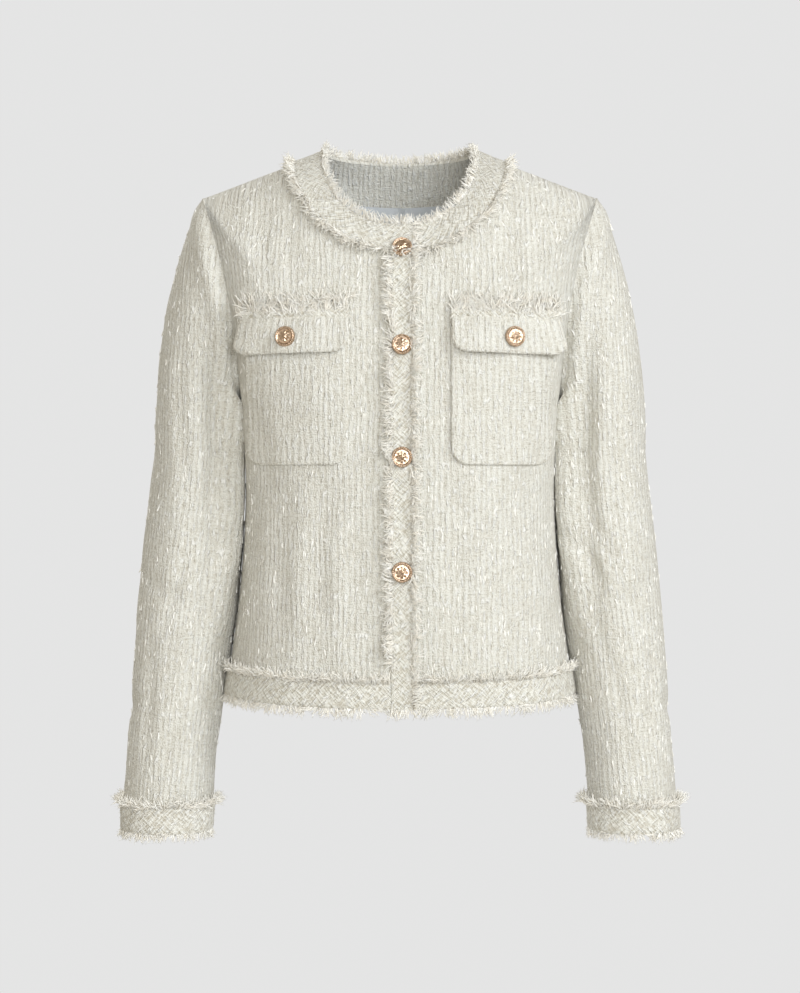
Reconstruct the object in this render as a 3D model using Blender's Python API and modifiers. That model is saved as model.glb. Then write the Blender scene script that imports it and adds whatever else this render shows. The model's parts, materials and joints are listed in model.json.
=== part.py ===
"""A cropped tweed jacket, filled out and hollow, as separate closed pieces of cloth.

Metres, +Z up. The front faces -Y and the wearer's left arm is on +X. The origin lies midway between the
two neck points, where the shoulder seams meet the neckline. Each cut piece is its own object: a wall of
cloth lofted between an outer and an inner grid of points, 0.3 mm clear of the piece it is sewn to.
"""

from collections import namedtuple
from math import cos, pi, radians, sin

import bmesh
import bpy
import numpy as np
from mathutils import Matrix, Vector

# ---------------------------------------------------------------- sizes, in metres

SEAM_GAP = 0.0003          # between two pieces sewn edge to edge, or lying on each other
ARMHOLE_GAP = 0.0003       # the sleeve's own share of the gap at the twisted armhole seam
LAY_GAP = 0.0014           # under a piece whose facets don't follow the panel's own
SHARPEST_MITRE = 0.62      # cosine past which a mitred wall is no longer lengthened
SHARPEST_CORNER = 0.35     # the same for the seam gap at the corner of a piece, as one plus a cosine

PANEL_CLOTH = 0.0022
BAND_CLOTH = 0.0016
POCKET_CLOTH = 0.0018
FLAP_CLOTH = 0.0020
FACING_CLOTH = 0.0015
LINING_CLOTH = 0.0010
FRINGE_CLOTH = 0.0011
EDGE_LIFT = -0.0006        # a strip that hangs on an edge is level with the cloth, not on it
FRINGE_LIFT = 0.0013       # under a strip on a panel, which cuts across the panel's corners
NECK_FRINGE_LIFT = 0.0020  # the same where it crosses the shoulder seam

SHOULDER_HALF = 0.187      # centre to the shoulder tip
SHOULDER_DROP = 0.044      # neck point down to the shoulder tip
NECK_HALF = 0.0715         # centre to the neck point
NECK_BAND_AT_SEAM = 0.1005 # centre to the neck band's outer edge, along the shoulder seam
UNDERARM_X = 0.150
UNDERARM_Z = -0.2395
ARMHOLE_HALF_DEPTH = 0.060 # front to back, halved

FRONT_EDGE = 0.0118        # the lapping front's edge, past the centre line
PLACKET_INNER = 0.0082     # the placket band's other edge, on the lapping front's own side
UNDERLAP_EDGE = 0.0150     # how far the left front runs under the right one
UNDERLAP_DEPTH = 0.0032    # how low it lies there
LEFT_TRIM_START = 0.0136   # where the bands begin on the left front

CUFF_EDGE_Z = -0.638

BUTTON_RADIUS = 0.0095
BUTTON_X = 0.0018
BUTTON_HEIGHTS = (-0.1020, -0.1911, -0.2919, -0.3952)
POCKET_BUTTON_X = 0.1010
POCKET_BUTTON_Z = -0.1838
BUTTON_GAP = 0.0006
BUTTON_SIDES = 16
BUTTON_PROFILE = (         # share of the radius, height
    (0, 0.0044), (0.45, 0.0041), (0.78, 0.0031), (0.93, 0.0030), (1, 0.0019), (0.86, 0), (0, 0),
)

# ---------------------------------------------------------------- the cut, as short tables

# One row for each curve that runs from the centre line out to the shoulder seam, armhole or side seam.
# It leaves the centre line level for `reach`, and comes to its far end from the bend point.
Section = namedtuple("Section", "y z reach bend_x bend_y bend_z")

FRONT = (
    Section(-0.0745, -0.0775, 0.055, 0.0745, -0.050, -0.034),   # neckline
    Section(-0.0905, -0.1040, 0.078, 0.1040, -0.062, -0.031),   # neck band's outer edge
    Section(-0.1025, -0.1400, 0.100, 0.1830, -0.062, -0.060),   # shoulder tip
    Section(-0.1125, -0.1800, 0.100, 0.1400, -0.088, -0.108),   # upper armhole
    Section(-0.1185, -0.2220, 0.098, 0.1400, -0.098, -0.200),   # lower armhole
    Section(-0.1220, -0.2550, 0.105, 0.1500, -0.085, -0.244),   # underarm
    Section(-0.1220, -0.3300, 0.100, 0.1460, -0.082, -0.322),   # waist
    Section(-0.1230, -0.4250, 0.103, 0.1520, -0.083, -0.421),   # hip
    Section(-0.1255, -0.5180, 0.110, 0.1650, -0.085, -0.5125),  # hem
)

BACK = (
    Section(0.0600, -0.0030, 0.042, 0.0735, 0.040, 0.002),
    Section(0.0775, -0.0310, 0.068, 0.1040, 0.056, -0.018),
    Section(0.0955, -0.0820, 0.100, 0.1840, 0.056, -0.056),
    Section(0.1080, -0.1380, 0.105, 0.1480, 0.088, -0.104),
    Section(0.1120, -0.1920, 0.102, 0.1430, 0.096, -0.193),
    Section(0.1110, -0.2470, 0.105, 0.1500, 0.080, -0.243),
    Section(0.1030, -0.3280, 0.098, 0.1460, 0.072, -0.322),
    Section(0.1080, -0.4230, 0.102, 0.1520, 0.076, -0.421),
    Section(0.1180, -0.5160, 0.110, 0.1650, 0.083, -0.5125),
)

NECK_BAND_ROW = 1
FACING_ROW = 1.25          # the back facing's lower edge
SHOULDER_ROW = 2
UNDERARM_ROW = 5
HEM_BAND_ROW = 7.73
HEM_ROW = 8

# Side seam, from the underarm to the hem.
SideSeam = namedtuple("SideSeam", "x z")
SIDE_SEAM = (
    SideSeam(0.1500, -0.2395),
    SideSeam(0.1460, -0.3200),
    SideSeam(0.1520, -0.4200),
    SideSeam(0.1650, -0.5115),
)

# Sleeve below the cap: inner and outer edge, middle and half of its depth at each height.
Sleeve = namedtuple("Sleeve", "z inner outer y half_depth")
SLEEVE = (
    Sleeve(-0.285, 0.1500, 0.2335, 0.004, 0.0540),
    Sleeve(-0.350, 0.1540, 0.2400, -0.002, 0.0525),
    Sleeve(-0.430, 0.1600, 0.2475, -0.010, 0.0500),
    Sleeve(-0.520, 0.1690, 0.2530, -0.019, 0.0470),
    Sleeve(-0.610, 0.1760, 0.2585, -0.027, 0.0450),
    Sleeve(-0.638, 0.1775, 0.2600, -0.029, 0.0450),
)

# How the cap leaves the armhole: outwards at the underarm, then more as the armhole rises, and downwards.
CAP_OUTWARD = (0.025, 0.185, -0.110)
CAP_DOWNWARD = (-0.110, -0.100)
CAP_FULLNESS = 0.020       # how far it swells to the front and to the back

# Soft folds pressed into the sleeve: where they run, how wide and how deep.
Fold = namedtuple("Fold", "turn_top turn_low z_top z_low width depth")
SLEEVE_FOLDS = (
    Fold(95, 40, -0.110, -0.340, 20, 0.0060),     # from the front of the cap down to the inner elbow
    Fold(250, 310, -0.130, -0.350, 22, 0.0050),   # the same at the back
    Fold(150, 60, -0.395, -0.440, 24, 0.0030),    # across the elbow
    Fold(120, 200, -0.505, -0.540, 24, 0.0022),
)

# Patch pocket and flap on the +X side; the other side mirrors them.
POCKET_INNER, POCKET_OUTER = 0.0460, 0.1395
POCKET_TOP, POCKET_BOTTOM = -0.1740, -0.2990
POCKET_CORNER = 0.016
FLAP_INNER, FLAP_OUTER = 0.0465, 0.1440
FLAP_TOP, FLAP_BOTTOM = -0.1590, -0.1975
FLAP_CORNER = 0.013

# How far the flap stands off the panel at each height below its top: it steps over the pocket's mouth.
FlapRow = namedtuple("FlapRow", "drop lift")
FLAP_ROWS = (
    FlapRow(0.000, 0.0012),
    FlapRow(0.006, 0.0012),
    FlapRow(0.0115, 0.0041),
    FlapRow(0.020, 0.0046),
    FlapRow(0.030, 0.0050),
    FlapRow(0.0385, 0.0052),
)

# Frayed edges: the gap from the cloth's edge, the strip's width, the locks' mean length and spacing.
Fringe = namedtuple("Fringe", "gap strip length spacing")
NECK_INNER_FRINGE = Fringe(0.0008, 0.0020, 0.0075, 0.028)
NECK_OUTER_FRINGE = Fringe(0.0010, 0.0025, 0.0085, 0.028)
PLACKET_FRINGE = Fringe(0.0004, 0.0025, 0.0110, 0.024)
HEM_UPPER_FRINGE = Fringe(0.0005, 0.0025, 0.0090, 0.029)
HEM_LOWER_FRINGE = Fringe(0.0005, 0.0025, 0.0080, 0.029)
CUFF_UPPER_FRINGE = Fringe(0.0006, 0.0025, 0.0080, 0.026)
CUFF_LOWER_FRINGE = Fringe(0.0006, 0.0025, 0.0090, 0.026)
FLAP_FRINGE = Fringe(0.0004, 0.0025, 0.0095, 0.016)
LOCK_TAPER = 0.4           # a lock's tip, as a share of its root
FAR_LINES = (1, 3)         # of a strip's four lines of points, the two that locks grow from
STRIP_END = 0.001          # a strip stops short of its edge's ends by this
BESIDE_PLACKET = 0.004     # the same where the placket's own fringe stands in its way
PLACKET_FRINGE_ENDS = (0.014, 0.042)    # short of the neck band above and of the hem band below

# ---------------------------------------------------------------- grid steps

SHOULDER_ROWS = (0, NECK_BAND_ROW, FACING_ROW, 1.6, SHOULDER_ROW)
ARMHOLE_STEPS = 8          # on the front and again on the back
SIDE_ROWS = (5.5, 6, 6.5, 7, 7.4, HEM_BAND_ROW, HEM_ROW)
RIGHT_STEPS = tuple(np.linspace(0.15, 1.0, 9))      # shares across the half, also for the back
LEFT_STEPS = (0.22,) + RIGHT_STEPS[2:]              # the first is where the left front no longer lies low
CAP_STEPS = 6
SLEEVE_HEIGHTS = (-0.320, -0.357, -0.395, -0.435, -0.478, -0.520, -0.565, -0.610, CUFF_EDGE_Z)
CUFF_RINGS = 2             # the last two sleeve rings carry the cuff band


def clear_scene():
    for obj in list(bpy.data.objects):
        bpy.data.objects.remove(obj)


def unit(vectors):
    vectors = np.asarray(vectors, float)
    return vectors / np.maximum(np.linalg.norm(vectors, axis=-1, keepdims=True), 1e-12)


def through(values, at):
    """Reads a smooth curve through evenly spaced rows of numbers."""
    values = np.asarray(values, float)
    last = len(values) - 1
    low = int(min(max(np.floor(at), 0), last - 1))
    t = at - low
    before = values[low - 1] if low else 2 * values[0] - values[1]
    after = values[low + 2] if low + 2 <= last else 2 * values[last] - values[last - 1]
    start, end = values[low], values[low + 1]
    lean_in, lean_out = (end - before) / 2, (after - start) / 2
    return (
        (2 * t**3 - 3 * t**2 + 1) * start
        + (t**3 - 2 * t**2 + t) * lean_in
        + (3 * t**2 - 2 * t**3) * end
        + (t**3 - t**2) * lean_out
    )


def between(table, key, at):
    """Reads a smooth curve through table rows whose `key` column isn't evenly spaced."""
    keys = np.array([getattr(row, key) for row in table])
    place = np.interp(-at, -keys, np.arange(len(table)))
    return through(np.array(table), place)


# ---------------------------------------------------------------- surfaces of the body

def armhole(turn):
    """Point of the armhole on the +X side: turn 0 at the underarm, 180 at the shoulder tip, then the back."""
    middle = (UNDERARM_Z - SHOULDER_DROP) / 2
    half_height = (-SHOULDER_DROP - UNDERARM_Z) / 2
    z = middle - half_height * cos(radians(turn))
    rise = (z - UNDERARM_Z) / (2 * half_height)
    x = UNDERARM_X + (SHOULDER_HALF - UNDERARM_X) * rise**2
    return np.array([x, -ARMHOLE_HALF_DEPTH * sin(radians(turn)), z])


def outer_end(row, back):
    """Where a row meets the shoulder seam, the armhole or the side seam."""
    if row <= SHOULDER_ROW:
        x = np.interp(row, (0, NECK_BAND_ROW, SHOULDER_ROW), (NECK_HALF, NECK_BAND_AT_SEAM, SHOULDER_HALF))
        slope = SHOULDER_DROP / (SHOULDER_HALF - NECK_HALF)
        return np.array([x, 0, -(x - NECK_HALF) * slope])
    if row <= UNDERARM_ROW:
        turn = 180 * (UNDERARM_ROW - row) / (UNDERARM_ROW - SHOULDER_ROW)
        return armhole(-turn if back else turn)
    x, z = through(np.array(SIDE_SEAM), row - UNDERARM_ROW)
    return np.array([x, 0, z])


def body_point(row, across, back=False):
    """Point of the +X half: row 0 at the neckline to 8 at the hem, across 0 at the centre to 1 outside."""
    y, z, reach, *bend = through(np.array(BACK if back else FRONT), row)
    start = np.array([0, y, z])
    controls = (start, start + (reach, 0, 0), np.array(bend), outer_end(row, back))
    if across < 0:
        return start + np.array([3 * reach * across, 0, 0])
    weights = ((1 - across)**3, 3 * across * (1 - across)**2, 3 * across**2 * (1 - across), across**3)
    return sum(w * c for w, c in zip(weights, controls))


def across_at(row, x, back=False):
    """The share across the half where a row reaches this x."""
    low, high = -0.2, 1.0
    for _ in range(40):
        middle = (low + high) / 2
        if body_point(row, middle, back)[0] < x:
            low = middle
        else:
            high = middle
    return (low + high) / 2


def front_at(x, z):
    """Point and outward direction of the +X front at this place in front view."""
    low, high = 0.0, float(HEM_ROW)
    for _ in range(40):
        row = (low + high) / 2
        if body_point(row, across_at(row, x))[2] > z:
            low = row
        else:
            high = row
    across, step = across_at(row, x), 0.004
    point = body_point(row, across)
    sideways = body_point(row, across + step) - body_point(row, across - step)
    downward = body_point(row + step, across) - body_point(row - step, across)
    return point, unit(np.cross(downward, sideways))


# ---------------------------------------------------------------- surface of the sleeve

def sleeve_ring_point(z, turn):
    _, inner, outer, y, half_depth = between(SLEEVE, "z", z)
    middle, half_width = (inner + outer) / 2, (outer - inner) / 2
    return np.array([middle - half_width * cos(radians(turn)), y - half_depth * sin(radians(turn)), z])


def cap_point(share, turn):
    """A point between the armhole and the first full ring, on a curve that leaves the armhole outwards."""
    start, end = armhole(turn), sleeve_ring_point(SLEEVE[0].z, turn)
    rise = (1 - cos(radians(turn))) / 2
    leave = np.array([
        CAP_OUTWARD[0] + CAP_OUTWARD[1] * rise + CAP_OUTWARD[2] * rise**2,
        -CAP_FULLNESS * sin(radians(turn)),
        CAP_DOWNWARD[0] * rise + CAP_DOWNWARD[1] * rise**2,
    ])
    arrive = np.array([0, 0, end[2] - start[2]])
    t = share
    return (
        (2 * t**3 - 3 * t**2 + 1) * start
        + (t**3 - 2 * t**2 + t) * leave
        + (3 * t**2 - 2 * t**3) * end
        + (t**3 - t**2) * arrive
    )


def fold_depth(z, turn):
    depth = 0.0
    for fold in SLEEVE_FOLDS:
        share = (z - fold.z_top) / (fold.z_low - fold.z_top)
        if not 0 < share < 1:
            continue
        centre = fold.turn_top + (fold.turn_low - fold.turn_top) * share
        apart = (turn - centre + 180) % 360 - 180
        depth += fold.depth * sin(pi * share) * np.exp(-(apart / fold.width) ** 2)
    return depth


def sleeve_point(ring, turn):
    """ring 0 to CAP_STEPS is the cap, and past it each whole number is a row of SLEEVE_HEIGHTS."""
    if ring <= CAP_STEPS:
        point = cap_point(ring / CAP_STEPS, turn)
    else:
        point = sleeve_ring_point(SLEEVE_HEIGHTS[int(ring) - CAP_STEPS - 1], turn)
    _, inner, outer, y, _ = between(SLEEVE, "z", min(point[2], SLEEVE[0].z))
    inward = unit(np.array([(inner + outer) / 2, y, point[2]]) - point)
    return point + inward * fold_depth(point[2], turn)


# ---------------------------------------------------------------- grids of points

ROWS = SHOULDER_ROWS + tuple(np.linspace(SHOULDER_ROW, UNDERARM_ROW, ARMHOLE_STEPS + 1)[1:]) + SIDE_ROWS


def mirrored(grid):
    return grid * (-1, 1, 1)


def front_grid(marks, steps):
    """The +X front: a column at each x of `marks`, near the centre, then one for each width step."""
    return np.array([
        [body_point(row, across_at(row, x)) for x in marks(row)] + [body_point(row, s) for s in steps]
        for row in ROWS
    ])


def right_marks(row):
    return -FRONT_EDGE, PLACKET_INNER


def left_marks(row):
    """The underlap's edge, where the bands begin, and how far the front still lies low."""
    return -UNDERLAP_EDGE, LEFT_TRIM_START, np.interp(row, (0, 1, 1.6), (0.018, 0.022, 0.030))


def lowered(grid, normals):
    """The left front with its last columns low, under the right front and its fringe."""
    grid = grid.copy()
    low = len(left_marks(0))
    grid[:, -low:] -= normals[:, -low:] * UNDERLAP_DEPTH
    return grid


def back_grid():
    half = np.array([[body_point(row, s, back=True) for s in (0,) + RIGHT_STEPS] for row in ROWS])
    return np.concatenate([mirrored(half)[:, :0:-1], half], axis=1)


def sleeve_grid():
    turns = [360 * i / (2 * ARMHOLE_STEPS) for i in range(2 * ARMHOLE_STEPS)]
    rings = range(CAP_STEPS + len(SLEEVE_HEIGHTS) + 1)
    return np.array([[sleeve_point(ring, turn) for turn in turns] for ring in rings])


def quad_normals(grid, closed, axis_x):
    """Outward direction of each face; axis_x is the middle of the body or sleeve that the grid goes round."""
    after = np.roll(grid, -1, axis=1) if closed else grid[:, 1:]
    here = grid if closed else grid[:, :-1]
    normals = unit(np.cross(after[1:] - here[:-1], after[:-1] - here[1:]))
    away = (here[:-1] + after[1:]) / 2 - np.array([axis_x, 0, 0])
    away[..., 2] = 0
    return normals if (normals * away).sum() > 0 else -normals


def key(point):
    return tuple(np.round(point * 1e5).astype(int))


def shared_normals(grids, axes):
    """Outward direction at each grid point, and how much a mitre there lengthens a wall's thickness.

    Both take in the faces of every piece that meets at the point, so that walls sewn together agree.
    """
    faces = {}
    for name, grid in grids.items():
        closed = name in axes
        normals = quad_normals(grid, closed, axes.get(name, 0))
        columns = grid.shape[1]
        for i, j in np.ndindex(normals.shape[:2]):
            k = (j + 1) % columns
            for corner in ((i, j), (i, k), (i + 1, j), (i + 1, k)):
                faces.setdefault(key(grid[corner]), []).append(normals[i, j])
    directions, stretch = {}, {}
    for name, grid in grids.items():
        directions[name] = np.zeros_like(grid)
        stretch[name] = np.zeros(grid.shape[:2])
        for place in np.ndindex(grid.shape[:2]):
            around = np.array(faces[key(grid[place])])
            way = unit(around.sum(axis=0))
            directions[name][place] = way
            stretch[name][place] = 1 / max(SHARPEST_MITRE, float((around @ way).mean()))
    return directions, stretch


def pulled_in(grid, normals, closed, gap=SEAM_GAP / 2):
    """Moves each edge of a grid into the piece by half the seam gap, square to the edge on both sides."""
    rows, columns = grid.shape[:2]
    edges = []
    for i, inward in ((0, 1), (rows - 1, -1)):
        for j in range(columns if closed else columns - 1):
            edges.append(((i, j), (i, (j + 1) % columns), (inward, 0)))
    if not closed:
        for j, inward in ((0, 1), (columns - 1, -1)):
            for i in range(rows - 1):
                edges.append(((i, j), (i + 1, j), (0, inward)))
    ways = {}
    for first, second, step in edges:
        along = unit(grid[second] - grid[first])
        for place in (first, second):
            way = grid[place[0] + step[0], place[1] + step[1]] - grid[place]
            way = way - (way @ along) * along
            way = way - (way @ normals[place]) * normals[place]
            ways.setdefault(place, []).append(unit(way))
    moved = grid.copy()
    for place, (first, second) in ways.items():
        moved[place] += (first + second) * gap / max(SHARPEST_CORNER, 1 + first @ second)
    return moved


# ---------------------------------------------------------------- making objects

def material(name, colour, roughness, metallic=0.0):
    made = bpy.data.materials.new(name)
    made.use_nodes = True
    shader = made.node_tree.nodes["Principled BSDF"]
    shader.inputs["Base Color"].default_value = (*colour, 1)
    shader.inputs["Roughness"].default_value = roughness
    shader.inputs["Metallic"].default_value = metallic
    return made


def add_object(name, mesh, look, collection):
    made = bpy.data.objects.new(name, mesh)
    made.data.materials.append(look)
    collection.objects.link(made)
    return made


def mesh_from(bm, name):
    bmesh.ops.recalc_face_normals(bm, faces=bm.faces)
    mesh = bpy.data.meshes.new(name)
    bm.to_mesh(mesh)
    bm.free()
    mesh.shade_smooth()
    mesh.set_sharp_from_angle(angle=radians(50))
    return mesh


def loft_wall(outer, inner, closed, split_rims=True):
    """A closed wall between two grids of the same shape; closed joins the last column to the first."""
    bm = bmesh.new()
    rows, columns = outer.shape[:2]
    out = [[bm.verts.new(p) for p in line] for line in outer]
    inn = [[bm.verts.new(p) for p in line] for line in inner]
    spans = columns if closed else columns - 1
    for i in range(rows - 1):
        for j in range(spans):
            k = (j + 1) % columns
            bm.faces.new((out[i][j], out[i][k], out[i + 1][k], out[i + 1][j]))
            bm.faces.new((inn[i][j], inn[i + 1][j], inn[i + 1][k], inn[i][k]))
    rims = [(i, j, i, (j + 1) % columns) for i in (0, rows - 1) for j in range(spans)]
    if not closed:
        rims += [(i, j, i + 1, j) for j in (0, columns - 1) for i in range(rows - 1)]
    for i, j, m, n in rims:
        # Both pieces at a seam split a twisted rim from the lower point, so that their faces stay apart.
        if low_first(out[i][j].co, out[m][n].co):
            i, j, m, n = m, n, i, j
        rim = (out[m][n], out[i][j], inn[i][j], inn[m][n])
        if split_rims:
            bm.faces.new((rim[0], rim[1], rim[3]))
            bm.faces.new((rim[1], rim[2], rim[3]))
        else:
            bm.faces.new(rim)
    bm.verts.index_update()
    return bm


def low_first(first, second):
    """Whether the first of two points is the lower one, or the one further forward at the same height."""
    if abs(first.z - second.z) > SEAM_GAP * 2:
        return first.z < second.z
    return first.y < second.y


def cloth_piece(name, grid, normals, stretch, lift, thickness, look, collection, closed=False):
    """A wall whose outer face is `lift` + `thickness` off the grid and whose inner face is `lift` off it."""
    off = normals * stretch[..., None]
    outer, inner = grid + off * (lift + thickness), grid + off * lift
    return add_object(name, mesh_from(loft_wall(outer, inner, closed), name), look, collection)


def resampled(points, count, closed, ends=(0, 0)):
    """`count` points at even distances along a line of points, which starts and stops short by `ends`."""
    line = np.concatenate([points, points[:1]]) if closed else points
    length = np.concatenate([[0], np.cumsum(np.linalg.norm(np.diff(line[:, :3], axis=0), axis=1))])
    marks = np.linspace(ends[0], length[-1] - ends[1], count + 1 if closed else count)
    made = np.stack([np.interp(marks, length, line[:, i]) for i in range(line.shape[1])], axis=1)
    return made[:-1] if closed else made


def fringe(name, edge, away, normals, sizes, lift, look, collection, closed=False, ends=(0, 0), seed=0):
    """A narrow strip along `edge` with locks of frayed yarn that stand off it in the direction `away`."""
    chance = np.random.RandomState(seed)
    line = np.concatenate([edge, away, normals], axis=1)
    ring = np.concatenate([edge, edge[:1]]) if closed else edge
    length = np.linalg.norm(np.diff(ring, axis=0), axis=1).sum()
    locks = max(3, int(round(length / sizes.spacing)))
    marks = resampled(line, 2 * locks if closed else 2 * locks + 1, closed, ends)
    root, way, up = marks[:, :3], unit(marks[:, 3:6]), unit(marks[:, 6:])
    near, far = root + way * sizes.gap, root + way * (sizes.gap + sizes.strip)
    outer = np.stack([near + up * (lift + FRINGE_CLOTH), far + up * (lift + FRINGE_CLOTH)])
    inner = np.stack([near + up * lift, far + up * lift])
    bm = loft_wall(outer, inner, closed, split_rims=False)
    stations = len(marks)
    roots = {}
    for face in bm.faces:
        ids = [vert.index for vert in face.verts]
        start = min(i % stations for i in ids)
        if all(i // stations in FAR_LINES for i in ids) and {i % stations for i in ids} == {start, start + 1}:
            roots[start] = face
    tips = bmesh.ops.extrude_discrete_faces(bm, faces=[roots[i] for i in range(0, stations - 1, 2)])["faces"]
    for place, tip in zip(range(0, stations - 1, 2), tips):
        centre = tip.calc_center_median()
        across = np.cross(way[place], up[place])
        lean = way[place] + across * chance.uniform(-0.3, 0.3)
        rise = up[place] * chance.uniform(0.0004, 0.0012)
        shift = Vector(lean * sizes.length * chance.uniform(0.75, 1.2) + rise)
        for vert in tip.verts:
            vert.co = centre + (vert.co - centre) * LOCK_TAPER + shift
    return add_object(name, mesh_from(bm, name), look, collection)


# ---------------------------------------------------------------- the pieces

def make_panels(looks, collection):
    """Fronts, back and sleeves: their grids meet point for point, so their walls do too."""
    tube = sleeve_grid()
    middle = (SLEEVE[0].inner + SLEEVE[0].outer) / 2
    grids = {
        "front_right": mirrored(front_grid(right_marks, RIGHT_STEPS)),
        "front_left": front_grid(left_marks, LEFT_STEPS)[:, ::-1],
        "back": back_grid(),
        "sleeve_right": mirrored(tube),
        "sleeve_left": tube,
    }
    sleeve_axes = {"sleeve_right": -middle, "sleeve_left": middle}
    normals, stretch = shared_normals(grids, sleeve_axes)
    grids["front_left"] = lowered(grids["front_left"], normals["front_left"])
    for name, grid in grids.items():
        closed = name in sleeve_axes
        cut = pulled_in(grid, normals[name], closed, ARMHOLE_GAP if closed else SEAM_GAP / 2)
        cloth_piece(name, cut, normals[name], stretch[name], -PANEL_CLOTH, PANEL_CLOTH,
                    looks["tweed"], collection, closed)
    return grids, normals, stretch


def round_the_body(values, rows, right_skip=0):
    """Rows that run from the right front's edge round the back to the left front, without its underlap."""
    right = values["front_right"][rows, right_skip:]
    left = values["front_left"][rows, :-1]
    return np.concatenate([right, values["back"][rows, 1:-1], left], axis=1)


def make_body_bands(grids, normals, stretch, look, collection):
    runs = {"neck_band": (slice(0, 2), 0), "hem_band": (slice(-2, None), 1)}
    for name, (rows, right_skip) in runs.items():
        line, ways, grow = (round_the_body(v, rows, right_skip) for v in (grids, normals, stretch))
        cut = pulled_in(line, ways, False)
        cloth_piece(name, cut, ways, grow, SEAM_GAP, BAND_CLOTH, look, collection)
    strip, ways = grids["front_right"][1:, :2], normals["front_right"][1:, :2]
    cloth_piece("placket_band", pulled_in(strip, ways, False), ways, np.ones(strip.shape[:2]),
                SEAM_GAP, BAND_CLOTH, look, collection)


def make_cuff_bands(grids, normals, stretch, look, collection):
    for side in ("right", "left"):
        tube, ways, grow = (v["sleeve_" + side][-CUFF_RINGS:] for v in (grids, normals, stretch))
        cloth_piece("cuff_band_" + side, tube, ways, grow, SEAM_GAP, BAND_CLOTH, look, collection, True)


def make_back_insides(grids, normals, stretch, looks, collection):
    """The tweed facing below the back neck, and the satin lining that hangs under it."""
    facing_rows = slice(0, ROWS.index(FACING_ROW) + 1)
    lining_rows = slice(ROWS.index(FACING_ROW), -1)
    pieces = (
        ("facing_back", facing_rows, FACING_CLOTH, looks["tweed"]),
        ("lining_back", lining_rows, LINING_CLOTH, looks["satin"]),
    )
    for name, rows, thickness, look in pieces:
        grid, ways, grow = (v["back"][rows] for v in (grids, normals, stretch))
        lift = -(PANEL_CLOTH + SEAM_GAP + thickness)
        cloth_piece(name, pulled_in(grid, ways, False), ways, grow, lift, thickness, look, collection)


def rounded_end(x, inner, outer, radius):
    """How far up a rounded lower corner lifts the edge at this x."""
    near = min(x - inner, outer - x)
    if near >= radius:
        return 0.0
    return radius - (radius**2 - (radius - near) ** 2) ** 0.5


def patch_columns(inner, outer, radius):
    """x of each column, closer together at the rounded corners."""
    corner = radius * (1 - np.cos(np.linspace(0, pi / 2, 4)))
    middle = np.linspace(inner + radius, outer - radius, 5)[1:-1]
    return np.concatenate([inner + corner, middle, (outer - corner)[::-1]])


def patch_grid(columns, top, bottom, radius, drops):
    """Points and directions of a patch on the +X front: `drops` are shares of its height."""
    points, ways = [], []
    for drop in drops:
        line = []
        for x in columns:
            low = bottom + rounded_end(x, columns[0], columns[-1], radius)
            line.append(front_at(x, top + (low - top) * drop))
        points.append([point for point, _ in line])
        ways.append([way for _, way in line])
    return np.array(points), np.array(ways)


def make_pockets(looks, collection):
    columns = patch_columns(POCKET_INNER, POCKET_OUTER, POCKET_CORNER)
    pocket, pocket_ways = patch_grid(columns, POCKET_TOP, POCKET_BOTTOM, POCKET_CORNER,
                                     np.linspace(0, 1, 7))
    columns = patch_columns(FLAP_INNER, FLAP_OUTER, FLAP_CORNER)
    drops = [row.drop / FLAP_ROWS[-1].drop for row in FLAP_ROWS]
    flap, flap_ways = patch_grid(columns, FLAP_TOP, FLAP_BOTTOM, FLAP_CORNER, drops)
    flap = flap + flap_ways * np.array([row.lift for row in FLAP_ROWS])[:, None, None]
    top_edge, top_ways = patch_grid(columns, FLAP_TOP, FLAP_TOP - 0.004, 0, (0, 1))
    for side, turn in (("left", 1), ("right", -1)):
        flipped = np.array([turn, 1, 1])
        plain = np.ones(pocket.shape[:2])
        cloth_piece("pocket_" + side, pocket * flipped, pocket_ways * flipped, plain,
                    LAY_GAP, POCKET_CLOTH, looks["tweed"], collection)
        plain = np.ones(flap.shape[:2])
        cloth_piece("flap_" + side, flap * flipped, flap_ways * flipped, plain,
                    0, FLAP_CLOTH, looks["tweed"], collection)
        away = unit(top_edge[0] - top_edge[1])
        fringe("fringe_flap_" + side, top_edge[0] * flipped, away * flipped, top_ways[0] * flipped,
               FLAP_FRINGE, FRINGE_LIFT, looks["yarn"], collection, seed=31 + turn)


# A fringe round the body: the edge's row, another row, and whether the locks point towards that one.
Run = namedtuple("Run", "name edge other towards sizes lift right_skip seed")


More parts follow.
